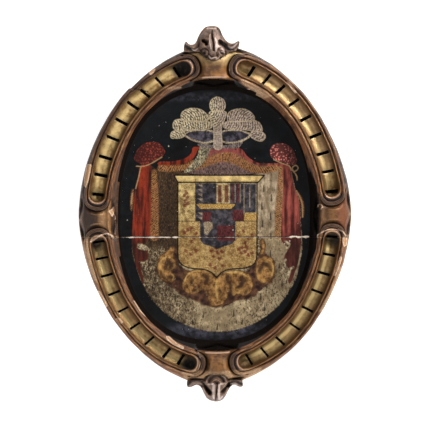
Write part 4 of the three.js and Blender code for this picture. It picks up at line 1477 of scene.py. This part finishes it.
def worked(operation, *values):
    return node("Math", dict(enumerate(values)), operation=operation).outputs[0]


def times(first, *others):
    for other in others:
        first = worked("MULTIPLY", first, other)
    return first


def plus(first, second):
    return worked("ADD", first, second)


def minus(first, second):
    return worked("SUBTRACT", first, second)


def greater(first, second):
    return worked("MAXIMUM", first, second)


def nudged(value, other, amount):
    """A value moved by so much of another."""
    return plus(value, times(other, amount))


def blended(first, second):
    """Half of each of two values."""
    return plus(times(first, 0.5), times(second, 0.5))


def swing(noise, amount):
    """Noise that swings about zero, over so wide a range."""
    return times(minus(noise, 0.5), amount)


def kept(name):
    """Reads a value kept for each point."""
    return node("Attribute", {}, attribute_name=name).outputs["Fac"]


def between(value, start, end, low=0.0, high=1.0):
    inputs = {"Value": value, "From Min": start, "From Max": end, "To Min": low, "To Max": high}
    return node("MapRange", inputs, interpolation_type="SMOOTHSTEP").outputs["Result"]


def mixed(share, first, second, blend_type="MIX"):
    inputs = {0: share, 6: first, 7: second}
    return node("Mix", inputs, data_type="RGBA", blend_type=blend_type).outputs[2]


def varied(value, low, high, dark, light):
    return mixed(between(value, low, high), dark, light)


def board_place(scale=None):
    spot = node("TexCoord", {}).outputs["Object"]
    return node("Mapping", {"Vector": spot, "Scale": scale}).outputs["Vector"] if scale else spot


def grain(position, size, detail=4.0, roughness=0.6):
    """Noise with swellings about that many millimetres apart."""
    inputs = {"Vector": position, "Scale": 1 / MM / size, "Detail": detail, "Roughness": roughness}
    return node("TexNoise", inputs).outputs["Fac"]


def crazing(spot, scale, width):
    """The fine net of cracks of an old coat: 0 in a crack, 1 beside it."""
    cells = node("TexVoronoi", {"Vector": spot, "Scale": scale}, feature="DISTANCE_TO_EDGE")
    return between(cells.outputs["Distance"], 0.0, width)


def banded(value, stops):
    """A colour for each stretch of the moulding's offset, given in millimetres."""
    made = node("ValToRGB", {"Fac": value})
    ramp = made.color_ramp
    while len(ramp.elements) < len(stops):
        ramp.elements.new(0.5)
    for element, (offset, colour) in zip(ramp.elements, stops):
        element.position = offset / BAND_REACH
        element.color = colour
    return made.outputs["Color"]


def relief(height, distance, strength=1.0, under=None):
    inputs = {"Height": height, "Distance": distance, "Strength": strength}
    if under is not None:
        inputs["Normal"] = under
    return node("Bump", inputs).outputs["Normal"]


def finish_of(name):
    finish = finishes[name]
    finish.use_nodes = True
    return finish.node_tree, finish.node_tree.nodes["Principled BSDF"]


def group_of(name, *sockets):
    """A node group with those sockets, and the nodes for what it takes and gives."""
    made = bpy.data.node_groups.new(name, "ShaderNodeTree")
    for label, kind, side in sockets:
        made.interface.new_socket(name=label, in_out=side, socket_type="NodeSocket" + kind)
    return made, made.nodes.new("NodeGroupInput").outputs, made.nodes.new("NodeGroupOutput")


# Old grime is used on every finish: dust and dark dirt that gather in hollows, and specks.
grime, given, result = group_of(
    "old grime", ("Colour", "Color", "INPUT"), ("Amount", "Float", "INPUT"),
    ("Hollow", "Float", "INPUT"), ("Colour", "Color", "OUTPUT"), ("Dull", "Float", "OUTPUT"),
    ("Height", "Float", "OUTPUT"),
)
tree = grime
spot = board_place()
film = grain(spot, 26, 6.0, 0.65)
speckle = grain(spot, 2.2, 3.0, 0.7)
gathered = between(nudged(given["Hollow"], film, 1.3), 0.7, 3.2)
patchy = times(between(film, 0.46, 0.7), times(given["Amount"], 0.3))
dirty = greater(times(gathered, given["Amount"]), patchy)
coated = mixed(dirty, given["Colour"], tint(34, 24, 18))
dots = times(between(speckle, 0.66, 0.72), times(given["Amount"], 0.7))
coated = mixed(dots, coated, tint(30, 20, 16))
height = plus(times(film, 0.6), times(speckle, 0.4))
fed(result, {"Colour": coated, "Dull": times(dirty, 0.3), "Height": height})


def grimed(colour, amount, hollow):
    inputs = {"Colour": colour, "Amount": amount, "Hollow": hollow}
    made = node("Group", inputs, node_tree=grime)
    return made.outputs["Colour"], made.outputs["Dull"], made.outputs["Height"]


# Broken gesso is white to pinkish, with yellow wood where it has gone too.
gesso, given, result = group_of(
    "broken gesso", ("Distance", "Float", "INPUT"), ("Mask", "Float", "OUTPUT"),
    ("Colour", "Color", "OUTPUT"), ("Height", "Float", "OUTPUT"),
)
tree = gesso
ragged = grain(board_place(), 3.2, 4.0, 0.7)
film = grain(board_place(), 9, 3.0, 0.6)
gap = plus(given["Distance"], swing(ragged, 3.2))
gone = between(gap, 0.35, -0.25)
wooden = between(nudged(gap, film, 6.0), 1.8, 0.6)
fibres = grain(board_place((0.12, 1, 1)), 1.6, 3.0, 0.6)
bare_wood = mixed(fibres, tint(150, 104, 66), tint(206, 164, 120))
chalk = varied(ragged, 0.35, 0.65, tint(186, 148, 118), tint(226, 200, 174))
colour = mixed(wooden, chalk, bare_wood)
fed(result, {"Mask": gone, "Colour": colour, "Height": minus(ragged, gone)})


def broken(distance):
    made = node("Group", {"Distance": distance}, node_tree=gesso)
    return made.outputs["Mask"], made.outputs["Colour"], made.outputs["Height"]


# The carving
tree, surface = finish_of(carving_finish)
spot = board_place()
offset, share_read, over = kept("offset"), kept("share"), kept("bridge")
fine, middle, broad = grain(spot, 1.6), grain(spot, 8, 5.0), grain(spot, 55, 3.0)
waver = swing(middle, 1.6)
apart = node("SeparateXYZ", {"Vector": spot}).outputs
side_to_side, upward = apart["X"], apart["Z"]
run = {"X": times(kept("along"), 0.045), "Y": offset, "Z": times(side_to_side, 40.0)}
streak = grain(node("CombineXYZ", run).outputs["Vector"], 1250, 4.0, 0.65)
step = worked("DIVIDE", plus(offset, waver), BAND_REACH)

# Gilding in the channels: worn, toned and darker below the joint, lighter on the side that meets
# the light as a painted highlight, with painted shade on the other side and at the cove's edges.
gold_tone = between(nudged(times(middle, 0.6), broad, 0.5), 0.38, 0.7)
gold = mixed(gold_tone, tint(138, 100, 52), tint(228, 198, 134))
lower_right = between(side_to_side, 0.02, 0.2)
gold = mixed(times(lower_right, 0.3), gold, tint(128, 104, 60))
orange = between(nudged(broad, middle, 0.35), 0.72, 0.86, 0.0, 0.6)
gold = mixed(orange, gold, tint(176, 116, 66))
upper_right = times(between(side_to_side, 0.03, 0.08), between(upward, 0.05, 0.12))
gold = mixed(times(upper_right, 0.4), gold, tint(180, 134, 102))
# A painted highlight just below each cut and painted shade just above the next one.
gold = mixed(between(kept("way"), 0.16, 0.04, 0.0, 0.5), gold, tint(232, 210, 174))
gold = mixed(between(kept("way"), 0.8, 0.97, 0.0, 0.55), gold, tint(78, 52, 28))
below_joint = between(upward, -0.04, -0.046)
gold = mixed(times(below_joint, 0.5), gold, tint(90, 64, 36))
# A painted highlight along the side of each channel that meets the light, and painted shade along
# the other side.
lateral = nudged(kept("lateral"), waver, 2.0)
gold = mixed(
    times(between(lateral, -1.0, 3.0), between(lateral, 9.0, 6.0, 0.0, 0.45)), gold,
    tint(240, 214, 150),
)
gold = mixed(between(lateral, -4.0, -9.0, 0.0, 0.62), gold, tint(78, 54, 34))
# Darker towards the edges of the cove: toned glaze that gathers there, and painted shade so that
# the cove reads round.
glaze_and_shade = between(nudged(offset, waver, 3.0), 7.0, 14.5)
gold = mixed(times(glaze_and_shade, 0.72), gold, tint(84, 54, 26))
rubbed = between(fine, 0.6, 0.72)
gold = mixed(times(rubbed, 0.4), gold, tint(92, 58, 34))

# Beads, quirks and rolls: one glazed colour for each offset, streaked along the run; the quirks are
# dark as painted shade, and the crests of bead and roll light as painted highlights.
mouldings = banded(
    step,
    [
        (0.0, tint(150, 110, 55)), (14.5, tint(96, 62, 32)), (15.1, tint(44, 25, 15)),
        (16.0, tint(172, 122, 78)), (16.9, tint(120, 76, 46)), (18.0, tint(34, 18, 13)),
        (19.4, tint(40, 24, 17)), (20.8, tint(92, 60, 40)), (22.6, tint(122, 81, 54)),
        (24.6, tint(84, 54, 37)), (26.5, tint(60, 38, 28)),
    ],
)
light_streak, dark_streak = (
    between(streak, 0.53, 0.64, 0.0, 0.85), between(streak, 0.47, 0.36, 0.0, 0.85),
)
mouldings = mixed(between(middle, 0.4, 0.62, 0.0, 0.4), mouldings, tint(154, 98, 56))
mouldings = mixed(dark_streak, mouldings, tint(46, 29, 22))
mouldings = mixed(light_streak, mouldings, tint(186, 142, 92))
# Painted shade on the outer mouldings of the upper left, the side away from the light.
outer_left = times(between(share_read, 0.72, 0.8), between(side_to_side, 0.03, -0.03, 0.3, 1.0))
outer_left = times(outer_left, between(upward, -0.01, 0.03))
mouldings = mixed(times(outer_left, 0.62), mouldings, tint(58, 43, 40))

# Round a channel's end the mouldings have more and finer lines, dark in the grooves as painted
# shade and light on the ridges as painted highlights.
fine_offset = nudged(offset, waver, 0.35)
fine_step = worked("DIVIDE", fine_offset, BAND_REACH)
end_lines = banded(
    fine_step,
    [
        (0.0, tint(150, 110, 55)), (14.6, tint(70, 44, 26)), (15.2, tint(44, 28, 22)),
        (16.2, tint(164, 126, 104)), (17.0, tint(80, 56, 48)), (18.0, tint(26, 17, 16)),
        (19.3, tint(40, 27, 26)), (20.4, tint(136, 104, 88)), (21.3, tint(36, 25, 24)),
        (22.6, tint(104, 78, 66)), (23.6, tint(34, 24, 23)), (24.7, tint(132, 104, 82)),
        (25.8, tint(48, 34, 31)),
    ],
)
mouldings = mixed(between(kept("wrap"), 0.1, 0.6), mouldings, end_lines)
in_channel = between(fine_offset, 14.8, 14.3)
on_flank = between(offset, 25.2, 26.6)

# The outer rim, and the inner wall that runs down into shade.
rim = varied(middle, 0.35, 0.65, tint(44, 32, 29), tint(82, 62, 52))
rim = mixed(times(light_streak, 0.8), rim, tint(160, 130, 98))
rim = mixed(times(below_joint, between(streak, 0.3, 0.55, 0.25, 0.85)), rim, tint(148, 96, 56))
inner = varied(streak, 0.36, 0.62, tint(78, 46, 28), tint(156, 102, 62))
down_flank = nudged(offset, waver, 0.8)
left_middle = between(side_to_side, -0.15, -0.17)
into_shade = worked("DIVIDE", minus(down_flank, 26.8), nudged(2.4, upper_right, 8.5))
dark_wall = times(between(into_shade, 0.0, 1.0), minus(1.0, times(left_middle, 0.3)))
dark_wall = times(dark_wall, between(share_read, 0.32, 0.28))
inner = mixed(dark_wall, inner, tint(16, 11, 9))
flank = mixed(between(share_read, 0.3, 0.6), inner, rim)

# The bridges: brown; gilt with a painted highlight at the top of the oval; at the left painted
# shade outside and a painted highlight inside; orange at the right; painted shade down their sides
# and a thin painted highlight along the lips of the top and bottom ones.
bridge_tone = blended(middle, broad)
bridge_colour = varied(bridge_tone, 0.42, 0.6, tint(84, 53, 26), tint(142, 96, 48))
high_up = between(upward, 0.2, 0.25)
low_down = between(upward, -0.2, -0.25)
far_left = between(side_to_side, -0.14, -0.17)
far_right = between(side_to_side, 0.14, 0.17)
share_wavered = nudged(share_read, waver, 0.05)
# Gilt with a painted highlight on the upper part of the top bridge, stronger to the right.
gilt_and_highlit_brow = times(between(share_wavered, 0.4, 0.66), high_up)
gilt_and_highlit_brow = times(gilt_and_highlit_brow, between(side_to_side, -0.03, 0.02, 0.35, 0.8))
bridge_colour = mixed(gilt_and_highlit_brow, bridge_colour, tint(216, 184, 128))
in_shade = times(between(share_wavered, 0.36, 0.58), far_left)
bridge_colour = mixed(times(in_shade, 0.88), bridge_colour, tint(44, 29, 23))
orange_side = times(between(share_wavered, 0.5, 0.72), far_right)
bridge_colour = mixed(times(orange_side, 0.7), bridge_colour, tint(142, 78, 44))
# A painted highlight on the inner part of the side bridges, stronger at the left.
highlit_middle = times(between(share_wavered, 0.52, 0.3), greater(far_left, times(far_right, 0.3)))
bridge_colour = mixed(times(highlit_middle, 0.4), bridge_colour, tint(180, 140, 96))
bridge_colour = mixed(times(far_right, 0.35), bridge_colour, tint(70, 42, 22))
# Painted shade down both sides of each bridge.
shaded_bridge_sides = between(down_flank, 30.5, 27.0)
bridge_colour = mixed(times(shaded_bridge_sides, 0.75), bridge_colour, tint(58, 36, 30))
lip = mixed(
    between(share_read, 0.125, 0.15), mixed(far_left, tint(24, 17, 18), tint(92, 64, 44)),
    bridge_colour,
)
# A thin pale line along the lips of the top and bottom bridges: a painted highlight where the lip
# catches the light, and rubbed gesso.
lip_line = times(between(share_read, 0.15, 0.165), between(share_read, 0.2, 0.18))
lip_line = times(lip_line, between(worked("ABSOLUTE", kept("beside")), 25.0, 21.0))
lip_line = times(lip_line, greater(high_up, low_down))
lip = mixed(times(lip_line, between(middle, 0.3, 0.45, 0.2, 0.8)), lip, tint(214, 176, 150))
lip = mixed(between(share_read, 0.84, 0.96), lip, tint(96, 64, 44))
flank = mixed(between(over, 0.75, 1.0), flank, lip)
colour = mixed(on_flank, mouldings, flank)

# Rubbed patches, partly painted highlights; painted shadow in the channels' mouths; and the leaf
# ornaments with their painted highlights and painted shade.
rubbed_and_lit_gap = nudged(kept("rubbed"), waver, 4.0)
sandy = varied(fine, 0.38, 0.6, tint(150, 110, 76), tint(214, 178, 138))
colour = mixed(between(rubbed_and_lit_gap, 2.5, -2.5, 0.0, 0.68), colour, sandy)
colour = mixed(in_channel, colour, gold)
# The painted shadow in the mouths of the channels, near-black.
mouth_shadow = times(kept("soot_and_shadow"), between(middle, 0.2, 0.5, 0.8, 1.0))
mouth_shadow = times(mouth_shadow, between(offset, 15.2, 14.4))
colour = mixed(mouth_shadow, colour, tint(17, 12, 10))
silvery = varied(middle, 0.35, 0.65, tint(78, 57, 47), tint(134, 108, 93))
# Painted shade in the leaves' hollows, and painted highlights, partly rubbed silver, on their high
# points.
silvery = mixed(between(kept("shaded_hollows"), 0.1, 0.7, 0.0, 0.95), silvery, tint(24, 16, 13))
silvery = mixed(between(kept("rubbed_and_lit_silver"), 0.1, 0.75, 0.0, 0.9), silvery, tint(206, 184, 174))
colour = mixed(kept("leaf"), colour, silvery)

# Wear on raised edges, then grime, the split and the bare chips.
rub = plus(kept("worn_edge"), swing(fine, 1.4))
rub_mask = times(between(rub, 0.6, 1.5), minus(1.0, in_channel))
rub_mask = times(rub_mask, between(share_read, 0.06, 0.12))
side_lip = times(between(over, 0.5, 0.9), between(share_read, 0.3, 0.22, 0.0, 0.85))
rub_mask = times(rub_mask, minus(1.0, side_lip))
rub_mask = times(rub_mask, minus(1.0, times(kept("shaded_hollows"), 0.9)))
colour = mixed(times(rub_mask, 0.5), colour, tint(200, 154, 106))
colour, dull, film = grimed(colour, 0.85, kept("hollow"))
seam = between(kept("split"), 1.3, 0.5)
colour = mixed(seam, colour, tint(20, 13, 10))
gone, chalky, chalk_height = broken(kept("bare"))
colour = mixed(gone, colour, chalky)

# The gilding shines most, the glazed wood a little; the painted shadow in the mouths, the painted
# shade on the walls and bare gesso are dull.
sheen = times(minus(1.0, gone), between(in_channel, 0.0, 1.0, 0.25, 0.62))
rough = plus(between(middle, 0.3, 0.7, 0.32, 0.48), dull)
dull_places = greater(mouth_shadow, times(dark_wall, minus(1.0, over)))
sheen = times(sheen, minus(1.0, dull_places))
rough = greater(rough, times(dull_places, 0.95))
rough = greater(rough, times(gone, 0.85))
height = nudged(times(film, 0.8), crazing(spot, 110.0, 0.035), 0.12)
surface_relief = relief(height, 0.0009, 0.9)
surface_relief = relief(fine, 0.00025, 0.8, surface_relief)
surface_relief = relief(chalk_height, 0.0008, 1.0, surface_relief)
fed(
    surface,
    {"Base Color": colour, "Metallic": sheen, "Roughness": rough, "Normal": surface_relief},
)


# The painting
tree, surface = finish_of(ground_finish)
spot = board_place()
fine, middle, broad = grain(spot, 1.7), grain(spot, 9, 5.0), grain(spot, 60, 3.0)
strokes = grain(board_place((1, 1, 0.28)), 1.5, 3.0, 0.7)
apart = node("SeparateXYZ", {"Vector": spot}).outputs
side_to_side, upward = apart["X"], apart["Z"]
waver = swing(grain(spot, 3.4, 3.0), 1.7)


def painted_over(colour, name, new_colour, strength=1.0, edge=0.5, reach=0.0):
    """Lays a colour over the area of that name, with a slightly ragged edge."""
    gap = plus(kept(name), waver)
    mask = between(gap, reach + edge, reach - edge)
    if strength < 1:
        mask = times(mask, strength)
    return mixed(mask, colour, new_colour)


# Brush marks follow the drawn direction of plumes and fringes.
bent = swing(middle, 9.0)
combed = plus(plus(kept("hatch"), waver), bent)
teeth = worked("SINE", times(combed, 2 * math.pi / 4.6))
teeth = plus(teeth, swing(fine, 2.4))

# The dark ground with a painted sheen of pale bluish reflections below the mantle and near the top,
# and the fur lining of the mantle.
night = varied(broad, 0.35, 0.65, tint(4, 5, 7), tint(9, 14, 18))
painted_sheen = times(kept("painted_sheen"), between(middle, 0.35, 0.7, 0.1, 0.5))
colour = mixed(times(painted_sheen, 0.8), night, tint(110, 110, 130))
tone = kept("tone")
coarse, sharp = (
    grain(board_place((1, 1, 0.6)), 4.2, 4.0, 0.8), grain(board_place((1, 1, 0.7)), 1.9, 3.0, 0.8),
)
stipple = nudged(times(coarse, 0.55), sharp, 0.45)
flicks = plus(stipple, swing(tone, 0.26))
fur = varied(flicks, 0.5, 0.575, tint(48, 38, 29), tint(200, 182, 146))
upper_right = times(between(side_to_side, 0.05, 0.07), between(upward, -0.05, -0.01))
fur = mixed(
    times(upper_right, 0.6), fur,
    varied(
        grain(board_place((1, 1, 0.25)), 5, 4.0), 0.36, 0.6, tint(92, 80, 68), tint(206, 188, 166),
    ),
)
fur = mixed(between(grain(spot, 22, 4.0), 0.38, 0.6, 0.1, 0.6), fur, tint(84, 65, 44))
on_left = between(nudged(side_to_side, upward, 0.35), -0.06, -0.15)
fur = mixed(times(on_left, between(stipple, 0.6, 0.5, 0.1, 0.65)), fur, tint(56, 42, 30))
plain_lining = varied(strokes, 0.4, 0.68, tint(30, 22, 16), tint(92, 70, 48))
fur = mixed(between(tone, 0.3, 0.55), plain_lining, fur)
ragged = plus(kept("ermine"), swing(strokes, 9.0))
colour = mixed(between(ragged, 0.8, -0.6), colour, fur)
lower_right = times(between(side_to_side, 0.07, 0.13, 0.0, 0.45), between(upward, -0.05, -0.08))
colour = mixed(times(lower_right, between(ragged, 0.8, -0.6)), colour, tint(74, 58, 44))
colour = painted_over(colour, "tails", tint(30, 25, 22), 0.8)

# Red drapes and shoulders, knots, pelmet, fringes, tufts of fur and cords.
folds = grain(board_place((1, 1, 0.1)), 9, 3.0, 0.55)
on_right = between(side_to_side, -0.02, 0.05)
red = mixed(
    on_right, varied(folds, 0.36, 0.6, tint(48, 17, 12), tint(136, 48, 28)),
    varied(folds, 0.38, 0.62, tint(68, 28, 25), tint(156, 78, 68)),
)
red = mixed(between(strokes, 0.56, 0.68, 0.0, 0.6), red, tint(38, 18, 14))
low_down = between(upward, -0.035, -0.06)
red = mixed(times(low_down, 0.72), red, tint(46, 24, 18))
colour = painted_over(colour, "red", red)
dots = node("TexVoronoi", {"Vector": spot, "Scale": 260.0}).outputs["Distance"]
knot_light = mixed(on_right, tint(134, 56, 44), tint(208, 122, 114))
shaded = nudged(times(side_to_side, minus(1.0, times(on_right, 2.0))), middle, 0.02)
knot_light = mixed(between(shaded, -0.118, -0.145, 0.0, 0.7), knot_light, tint(56, 20, 18))
knot = mixed(between(dots, 0.52, 0.25, 0.1, 1.0), tint(54, 20, 17), knot_light)
colour = painted_over(colour, "knot", knot)
pelmet = varied(strokes, 0.38, 0.62, tint(50, 40, 42), tint(134, 108, 102))
flush = between(nudged(upward, middle, 0.02), 0.112, 0.135)
pelmet = mixed(times(flush, 0.75), pelmet, tint(142, 62, 62))
colour = painted_over(colour, "pelmet", pelmet, edge=1.5)
threads = worked("SINE", times(combed, 2 * math.pi / 3.3))
threads = plus(threads, swing(grain(spot, 3.4, 3.0), 8.0))
thread = varied(threads, -1.2, 1.3, tint(70, 38, 22), tint(176, 130, 78))
thread = mixed(between(middle, 0.42, 0.66, 0.0, 0.5), thread, tint(128, 72, 52))
colour = painted_over(colour, "fringe", thread, 0.9, edge=2.2)
turned = varied(stipple, 0.44, 0.58, tint(52, 48, 38), tint(190, 180, 148))
turned = mixed(between(side_to_side, -0.03, -0.016, 0.0, 0.6), turned, tint(62, 56, 46))
colour = painted_over(colour, "turned_fur", turned)
colour = painted_over(
    colour, "fur_curls", varied(stipple, 0.43, 0.55, tint(58, 46, 34), tint(206, 190, 156)), 0.85,
    edge=1.8,
)
colour = painted_over(colour, "cords", tint(168, 134, 96), 0.85, 0.7)

# The scrolled frame under the shield.
umber = varied(middle, 0.35, 0.65, tint(42, 26, 24), tint(92, 62, 44))
loose = swing(grain(spot, 7, 4.0), 11.0)
colour = mixed(between(plus(kept("scrollwork"), loose), 2.2, -2.2), colour, umber)
scroll = varied(blended(middle, fine), 0.38, 0.6, tint(92, 60, 34), tint(176, 134, 78))
scroll_gap = nudged(kept("scroll_gold"), loose, 0.5)
faded = between(nudged(upward, middle, 0.06), -0.085, -0.14, 0.0, 0.5)
scroll = mixed(times(faded, between(grain(spot, 6, 3.0), 0.42, 0.6)), scroll, tint(66, 40, 32))
colour = mixed(between(scroll_gap, 2.4, -3.2), colour, scroll)
colour = painted_over(colour, "scroll_light", tint(214, 178, 108), 0.6, edge=1.2)
shadow_gap = nudged(kept("scroll_dark"), loose, 0.5)
colour = mixed(between(shadow_gap, 4.4, -3.2, 0.0, 0.86), colour, tint(44, 27, 22))
veins = grain(board_place((1, 1, 0.35)), 3.4, 3.0, 0.7)
veins = times(between(veins, 0.54, 0.66, 0.0, 0.6), between(scroll_gap, 1.0, -1.0))
colour = mixed(veins, colour, tint(78, 46, 32))
scroll_line = worked("ABSOLUTE", plus(scroll_gap, 0.4))
colour = mixed(
    times(between(scroll_line, 1.5, 0.5, 0.0, 0.55), between(kept("shield"), 0.5, 2.0)), colour,
    tint(44, 26, 20),
)

# The shield: gold leaf with blots, then its charges and ink lines.
colour = painted_over(colour, "shield", tint(24, 16, 12), reach=1.2)
leaf_gold = varied(blended(middle, fine), 0.38, 0.6, tint(120, 94, 56), tint(210, 188, 130))
low_gold = between(upward, 0.012, -0.03, 0.0, 0.55)
leaf_gold = mixed(
    low_gold, leaf_gold, varied(fine, 0.4, 0.62, tint(96, 62, 36), tint(178, 138, 74)),
)
leaf_gold = mixed(between(upward, 0.064, 0.07, 0.0, 0.55), leaf_gold, tint(236, 208, 140))
colour = painted_over(colour, "gold", leaf_gold)
blotch = plus(kept("flecks"), swing(grain(spot, 3.6, 3.0), 9.0))
speckle = times(
    between(grain(spot, 2.8, 2.0), 0.56, 0.64), between(grain(spot, 14, 3.0), 0.4, 0.56),
)
speckle = times(speckle, between(kept("gold"), 0.0, -1.0, 0.0, 0.6))
colour = mixed(times(speckle, between(upward, 0.06, 0.0, 0.3, 1.0)), colour, tint(88, 44, 30))
blotch_edge = between(blotch, 1.4, -1.4, 0.0, 0.85)
colour = mixed(blotch_edge, colour, mixed(fine, tint(60, 24, 30), tint(128, 50, 40)))
colour = painted_over(colour, "dark", varied(middle, 0.4, 0.65, tint(38, 37, 43), tint(76, 72, 78)))
colour = painted_over(
    colour, "maroon", varied(strokes, 0.4, 0.62, tint(50, 22, 26), tint(112, 44, 44)), 0.88,
    edge=1.4,
)
colour = painted_over(
    colour, "cream", varied(fine, 0.4, 0.6, tint(104, 86, 68), tint(188, 170, 140)), 0.85, edge=1.0,
)
colour = painted_over(
    colour, "small_gold", varied(fine, 0.4, 0.62, tint(128, 92, 48), tint(206, 172, 100)), edge=0.8,
)
colour = painted_over(colour, "ink", tint(22, 14, 12), 0.9)

# The cap and its plumes.
colour = painted_over(
    colour, "skirt", varied(strokes, 0.4, 0.62, tint(52, 48, 58), tint(138, 124, 116)),
)
colour = painted_over(colour, "cap", varied(fine, 0.4, 0.62, tint(96, 84, 72), tint(188, 172, 146)))
colour = painted_over(
    colour, "openings", varied(middle, 0.4, 0.62, tint(32, 31, 37), tint(76, 72, 84)),
)
cream_light = varied(side_to_side, -0.01, 0.02, tint(206, 194, 164), tint(188, 170, 158))
plume_teeth = plus(teeth, swing(grain(spot, 3.2, 4.0), 9.0))
combed_cream = varied(plume_teeth, -1.2, 1.5, tint(72, 63, 52), cream_light)
combed_cream = mixed(between(middle, 0.5, 0.68, 0.0, 0.5), combed_cream, tint(82, 72, 58))
stem = times(
    between(worked("ABSOLUTE", minus(side_to_side, 0.006)), 0.012, 0.007),
    between(upward, 0.178, 0.166, 0.0, 0.65),
)
combed_cream = mixed(
    stem, combed_cream, varied(strokes, 0.4, 0.6, tint(104, 92, 84), tint(176, 160, 150)),
)
colour = painted_over(colour, "plumes", combed_cream)
colour = painted_over(colour, "plume_edge", tint(184, 168, 138), 0.6)
colour = painted_over(colour, "white_specks", tint(230, 226, 216))

# Old varnish, nicks and grime over all, and broken gesso along the joint.
varnish = between(blended(middle, broad), 0.35, 0.62)
colour = mixed(0.55, colour, mixed(varnish, tint(150, 128, 104), tint(255, 250, 240)), "MULTIPLY")
nicks = between(grain(spot, 2.6, 2.0, 0.5), 0.76, 0.775)
colour = mixed(nicks, colour, tint(206, 198, 184))
colour, dull, film = grimed(colour, 0.5, kept("hollow"))
gone, chalky, chalk_height = broken(kept("bare"))
above_joint = worked("ABSOLUTE", minus(kept("joint"), 1.3))
colour = mixed(between(above_joint, 0.9, 0.3, 0.0, 0.8), colour, tint(28, 19, 15))
colour = mixed(gone, colour, mixed(0.6, chalky, tint(234, 226, 212)))
rough = plus(between(middle, 0.3, 0.7, 0.32, 0.5), dull)
rough = greater(rough, times(gone, 0.85))
surface_relief = relief(nudged(film, crazing(spot, 150.0, 0.03), 0.2), 0.0004, 0.8)
surface_relief = relief(strokes, 0.00025, 0.8, surface_relief)
surface_relief = relief(chalk_height, 0.0008, 1.0, surface_relief)
fed(
    surface,
    {
        "Base Color": colour, "Metallic": 0.0, "Roughness": rough, "Normal": surface_relief,
        "Specular IOR Level": 0.13,
    },
)


# The back
tree, surface = finish_of(pine_finish)
spot = board_place()
rings = grain(board_place((0.06, 1, 1)), 5, 5.0, 0.65)
fibres = grain(board_place((0.04, 1, 1)), 0.9, 3.0, 0.6)
pine = varied(rings, 0.36, 0.64, tint(92, 62, 38), tint(150, 112, 74))
pine = mixed(between(fibres, 0.5, 0.75, 0.0, 0.5), pine, tint(60, 38, 24))
colour, dull, film = grimed(pine, 0.8, kept("hollow"))
surface_relief = relief(plus(fibres, film), 0.0005, 0.8)
rough = between(rings, 0.3, 0.7, 0.62, 0.85)
fed(surface, {"Base Color": colour, "Metallic": 0.0, "Roughness": rough, "Normal": surface_relief})


# The gouge cuts
tree, surface = finish_of(cut_finish)
dust = grain(board_place(), 2.4, 4.0, 0.7)
soot_and_shadow = varied(dust, 0.4, 0.7, tint(9, 7, 6), tint(26, 18, 13))
colour, dull, film = grimed(soot_and_shadow, 0.25, 0.2)
rough = between(dust, 0.3, 0.7, 0.75, 0.95)
fed(
    surface,
    {
        "Base Color": colour, "Metallic": 0.0, "Roughness": rough, "Normal": relief(dust, 0.0005),
        "Specular IOR Level": 0.05,
    },
)


for board in (upper, lower):
    lone(board)
    board.data.validate()
    bpy.ops.object.shade_smooth_by_angle(angle=math.radians(38))

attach(upper, "root")
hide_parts("upper_board")
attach(lower, "root")
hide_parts("lower_board")


# Studio
# A pale wall right behind the boards and a pale floor below, both see-through from behind,
# lit by a soft light from the upper right and a wider, weaker one from the left.

plane = bpy.ops.mesh.primitive_plane_add
wall = primitive(plane, "pale_wall", size=1)
place(wall, [(-6, 0.004, -1.2), (6, 0.004, -1.2), (-6, 0.004, 5), (6, 0.004, 5)])
floor = primitive(plane, "pale_floor", size=1)
place(floor, [(-6, -6, -1.2), (6, -6, -1.2), (-6, 0.004, -1.2), (6, 0.004, -1.2)])
pale = bpy.data.materials.new("pale studio paper")
pale.use_nodes = True
paper = pale.node_tree.nodes["Principled BSDF"]
tree = pale.node_tree
fed(paper, {
    "Base Color": (0.5, 0.5, 0.5, 1), "Roughness": 0.9,
    "Emission Color": (1, 1, 1, 1), "Emission Strength": 0.86,
})
clear = node("BsdfTransparent", {}).outputs["BSDF"]
behind = node("NewGeometry", {}).outputs["Backfacing"]
either = node("MixShader", {0: behind, 1: paper.outputs["BSDF"], 2: clear}).outputs["Shader"]
fed(tree.nodes["Material Output"], {"Surface": either})
for piece in (wall, floor):
    piece.data.materials.append(pale)


def soft_light(name, spot, aim, size, power, colour):
    bpy.ops.object.light_add(type="AREA", location=spot)
    light = bpy.context.object
    light.name = name
    light.data.shape = "DISK"
    light.data.size = size
    light.data.energy = power
    light.data.color = colour
    heading = np.array(aim) - np.array(spot)
    light.rotation_mode = "QUATERNION"
    light.rotation_quaternion = Vector(heading).to_track_quat("-Z", "Y")


soft_light("key light", (1.6, -1.3, 1.8), (0, 0, 0), 0.6, 96, (1, 0.98, 0.95))
soft_light("fill light", (-1.9, -2.6, 0.7), (0, 0, 0), 1.6, 13, (0.95, 0.97, 1))
world = bpy.data.worlds.new("studio")
bpy.context.scene.world = world
world.use_nodes = True
world.node_tree.nodes["Background"].inputs["Color"].default_value = (1, 1, 1, 1)
world.node_tree.nodes["Background"].inputs["Strength"].default_value = 0.1
bpy.context.scene.view_settings.view_transform = "Standard"

view_width = 432 * 1.92 * MM
bpy.ops.object.camera_add(location=(0.0019, -3.04, -0.0019), rotation=(math.pi / 2, 0, 0))
camera = bpy.context.object
camera.data.sensor_width = 36
camera.data.lens = 36 * 3.0 / view_width
bpy.context.scene.camera = camera
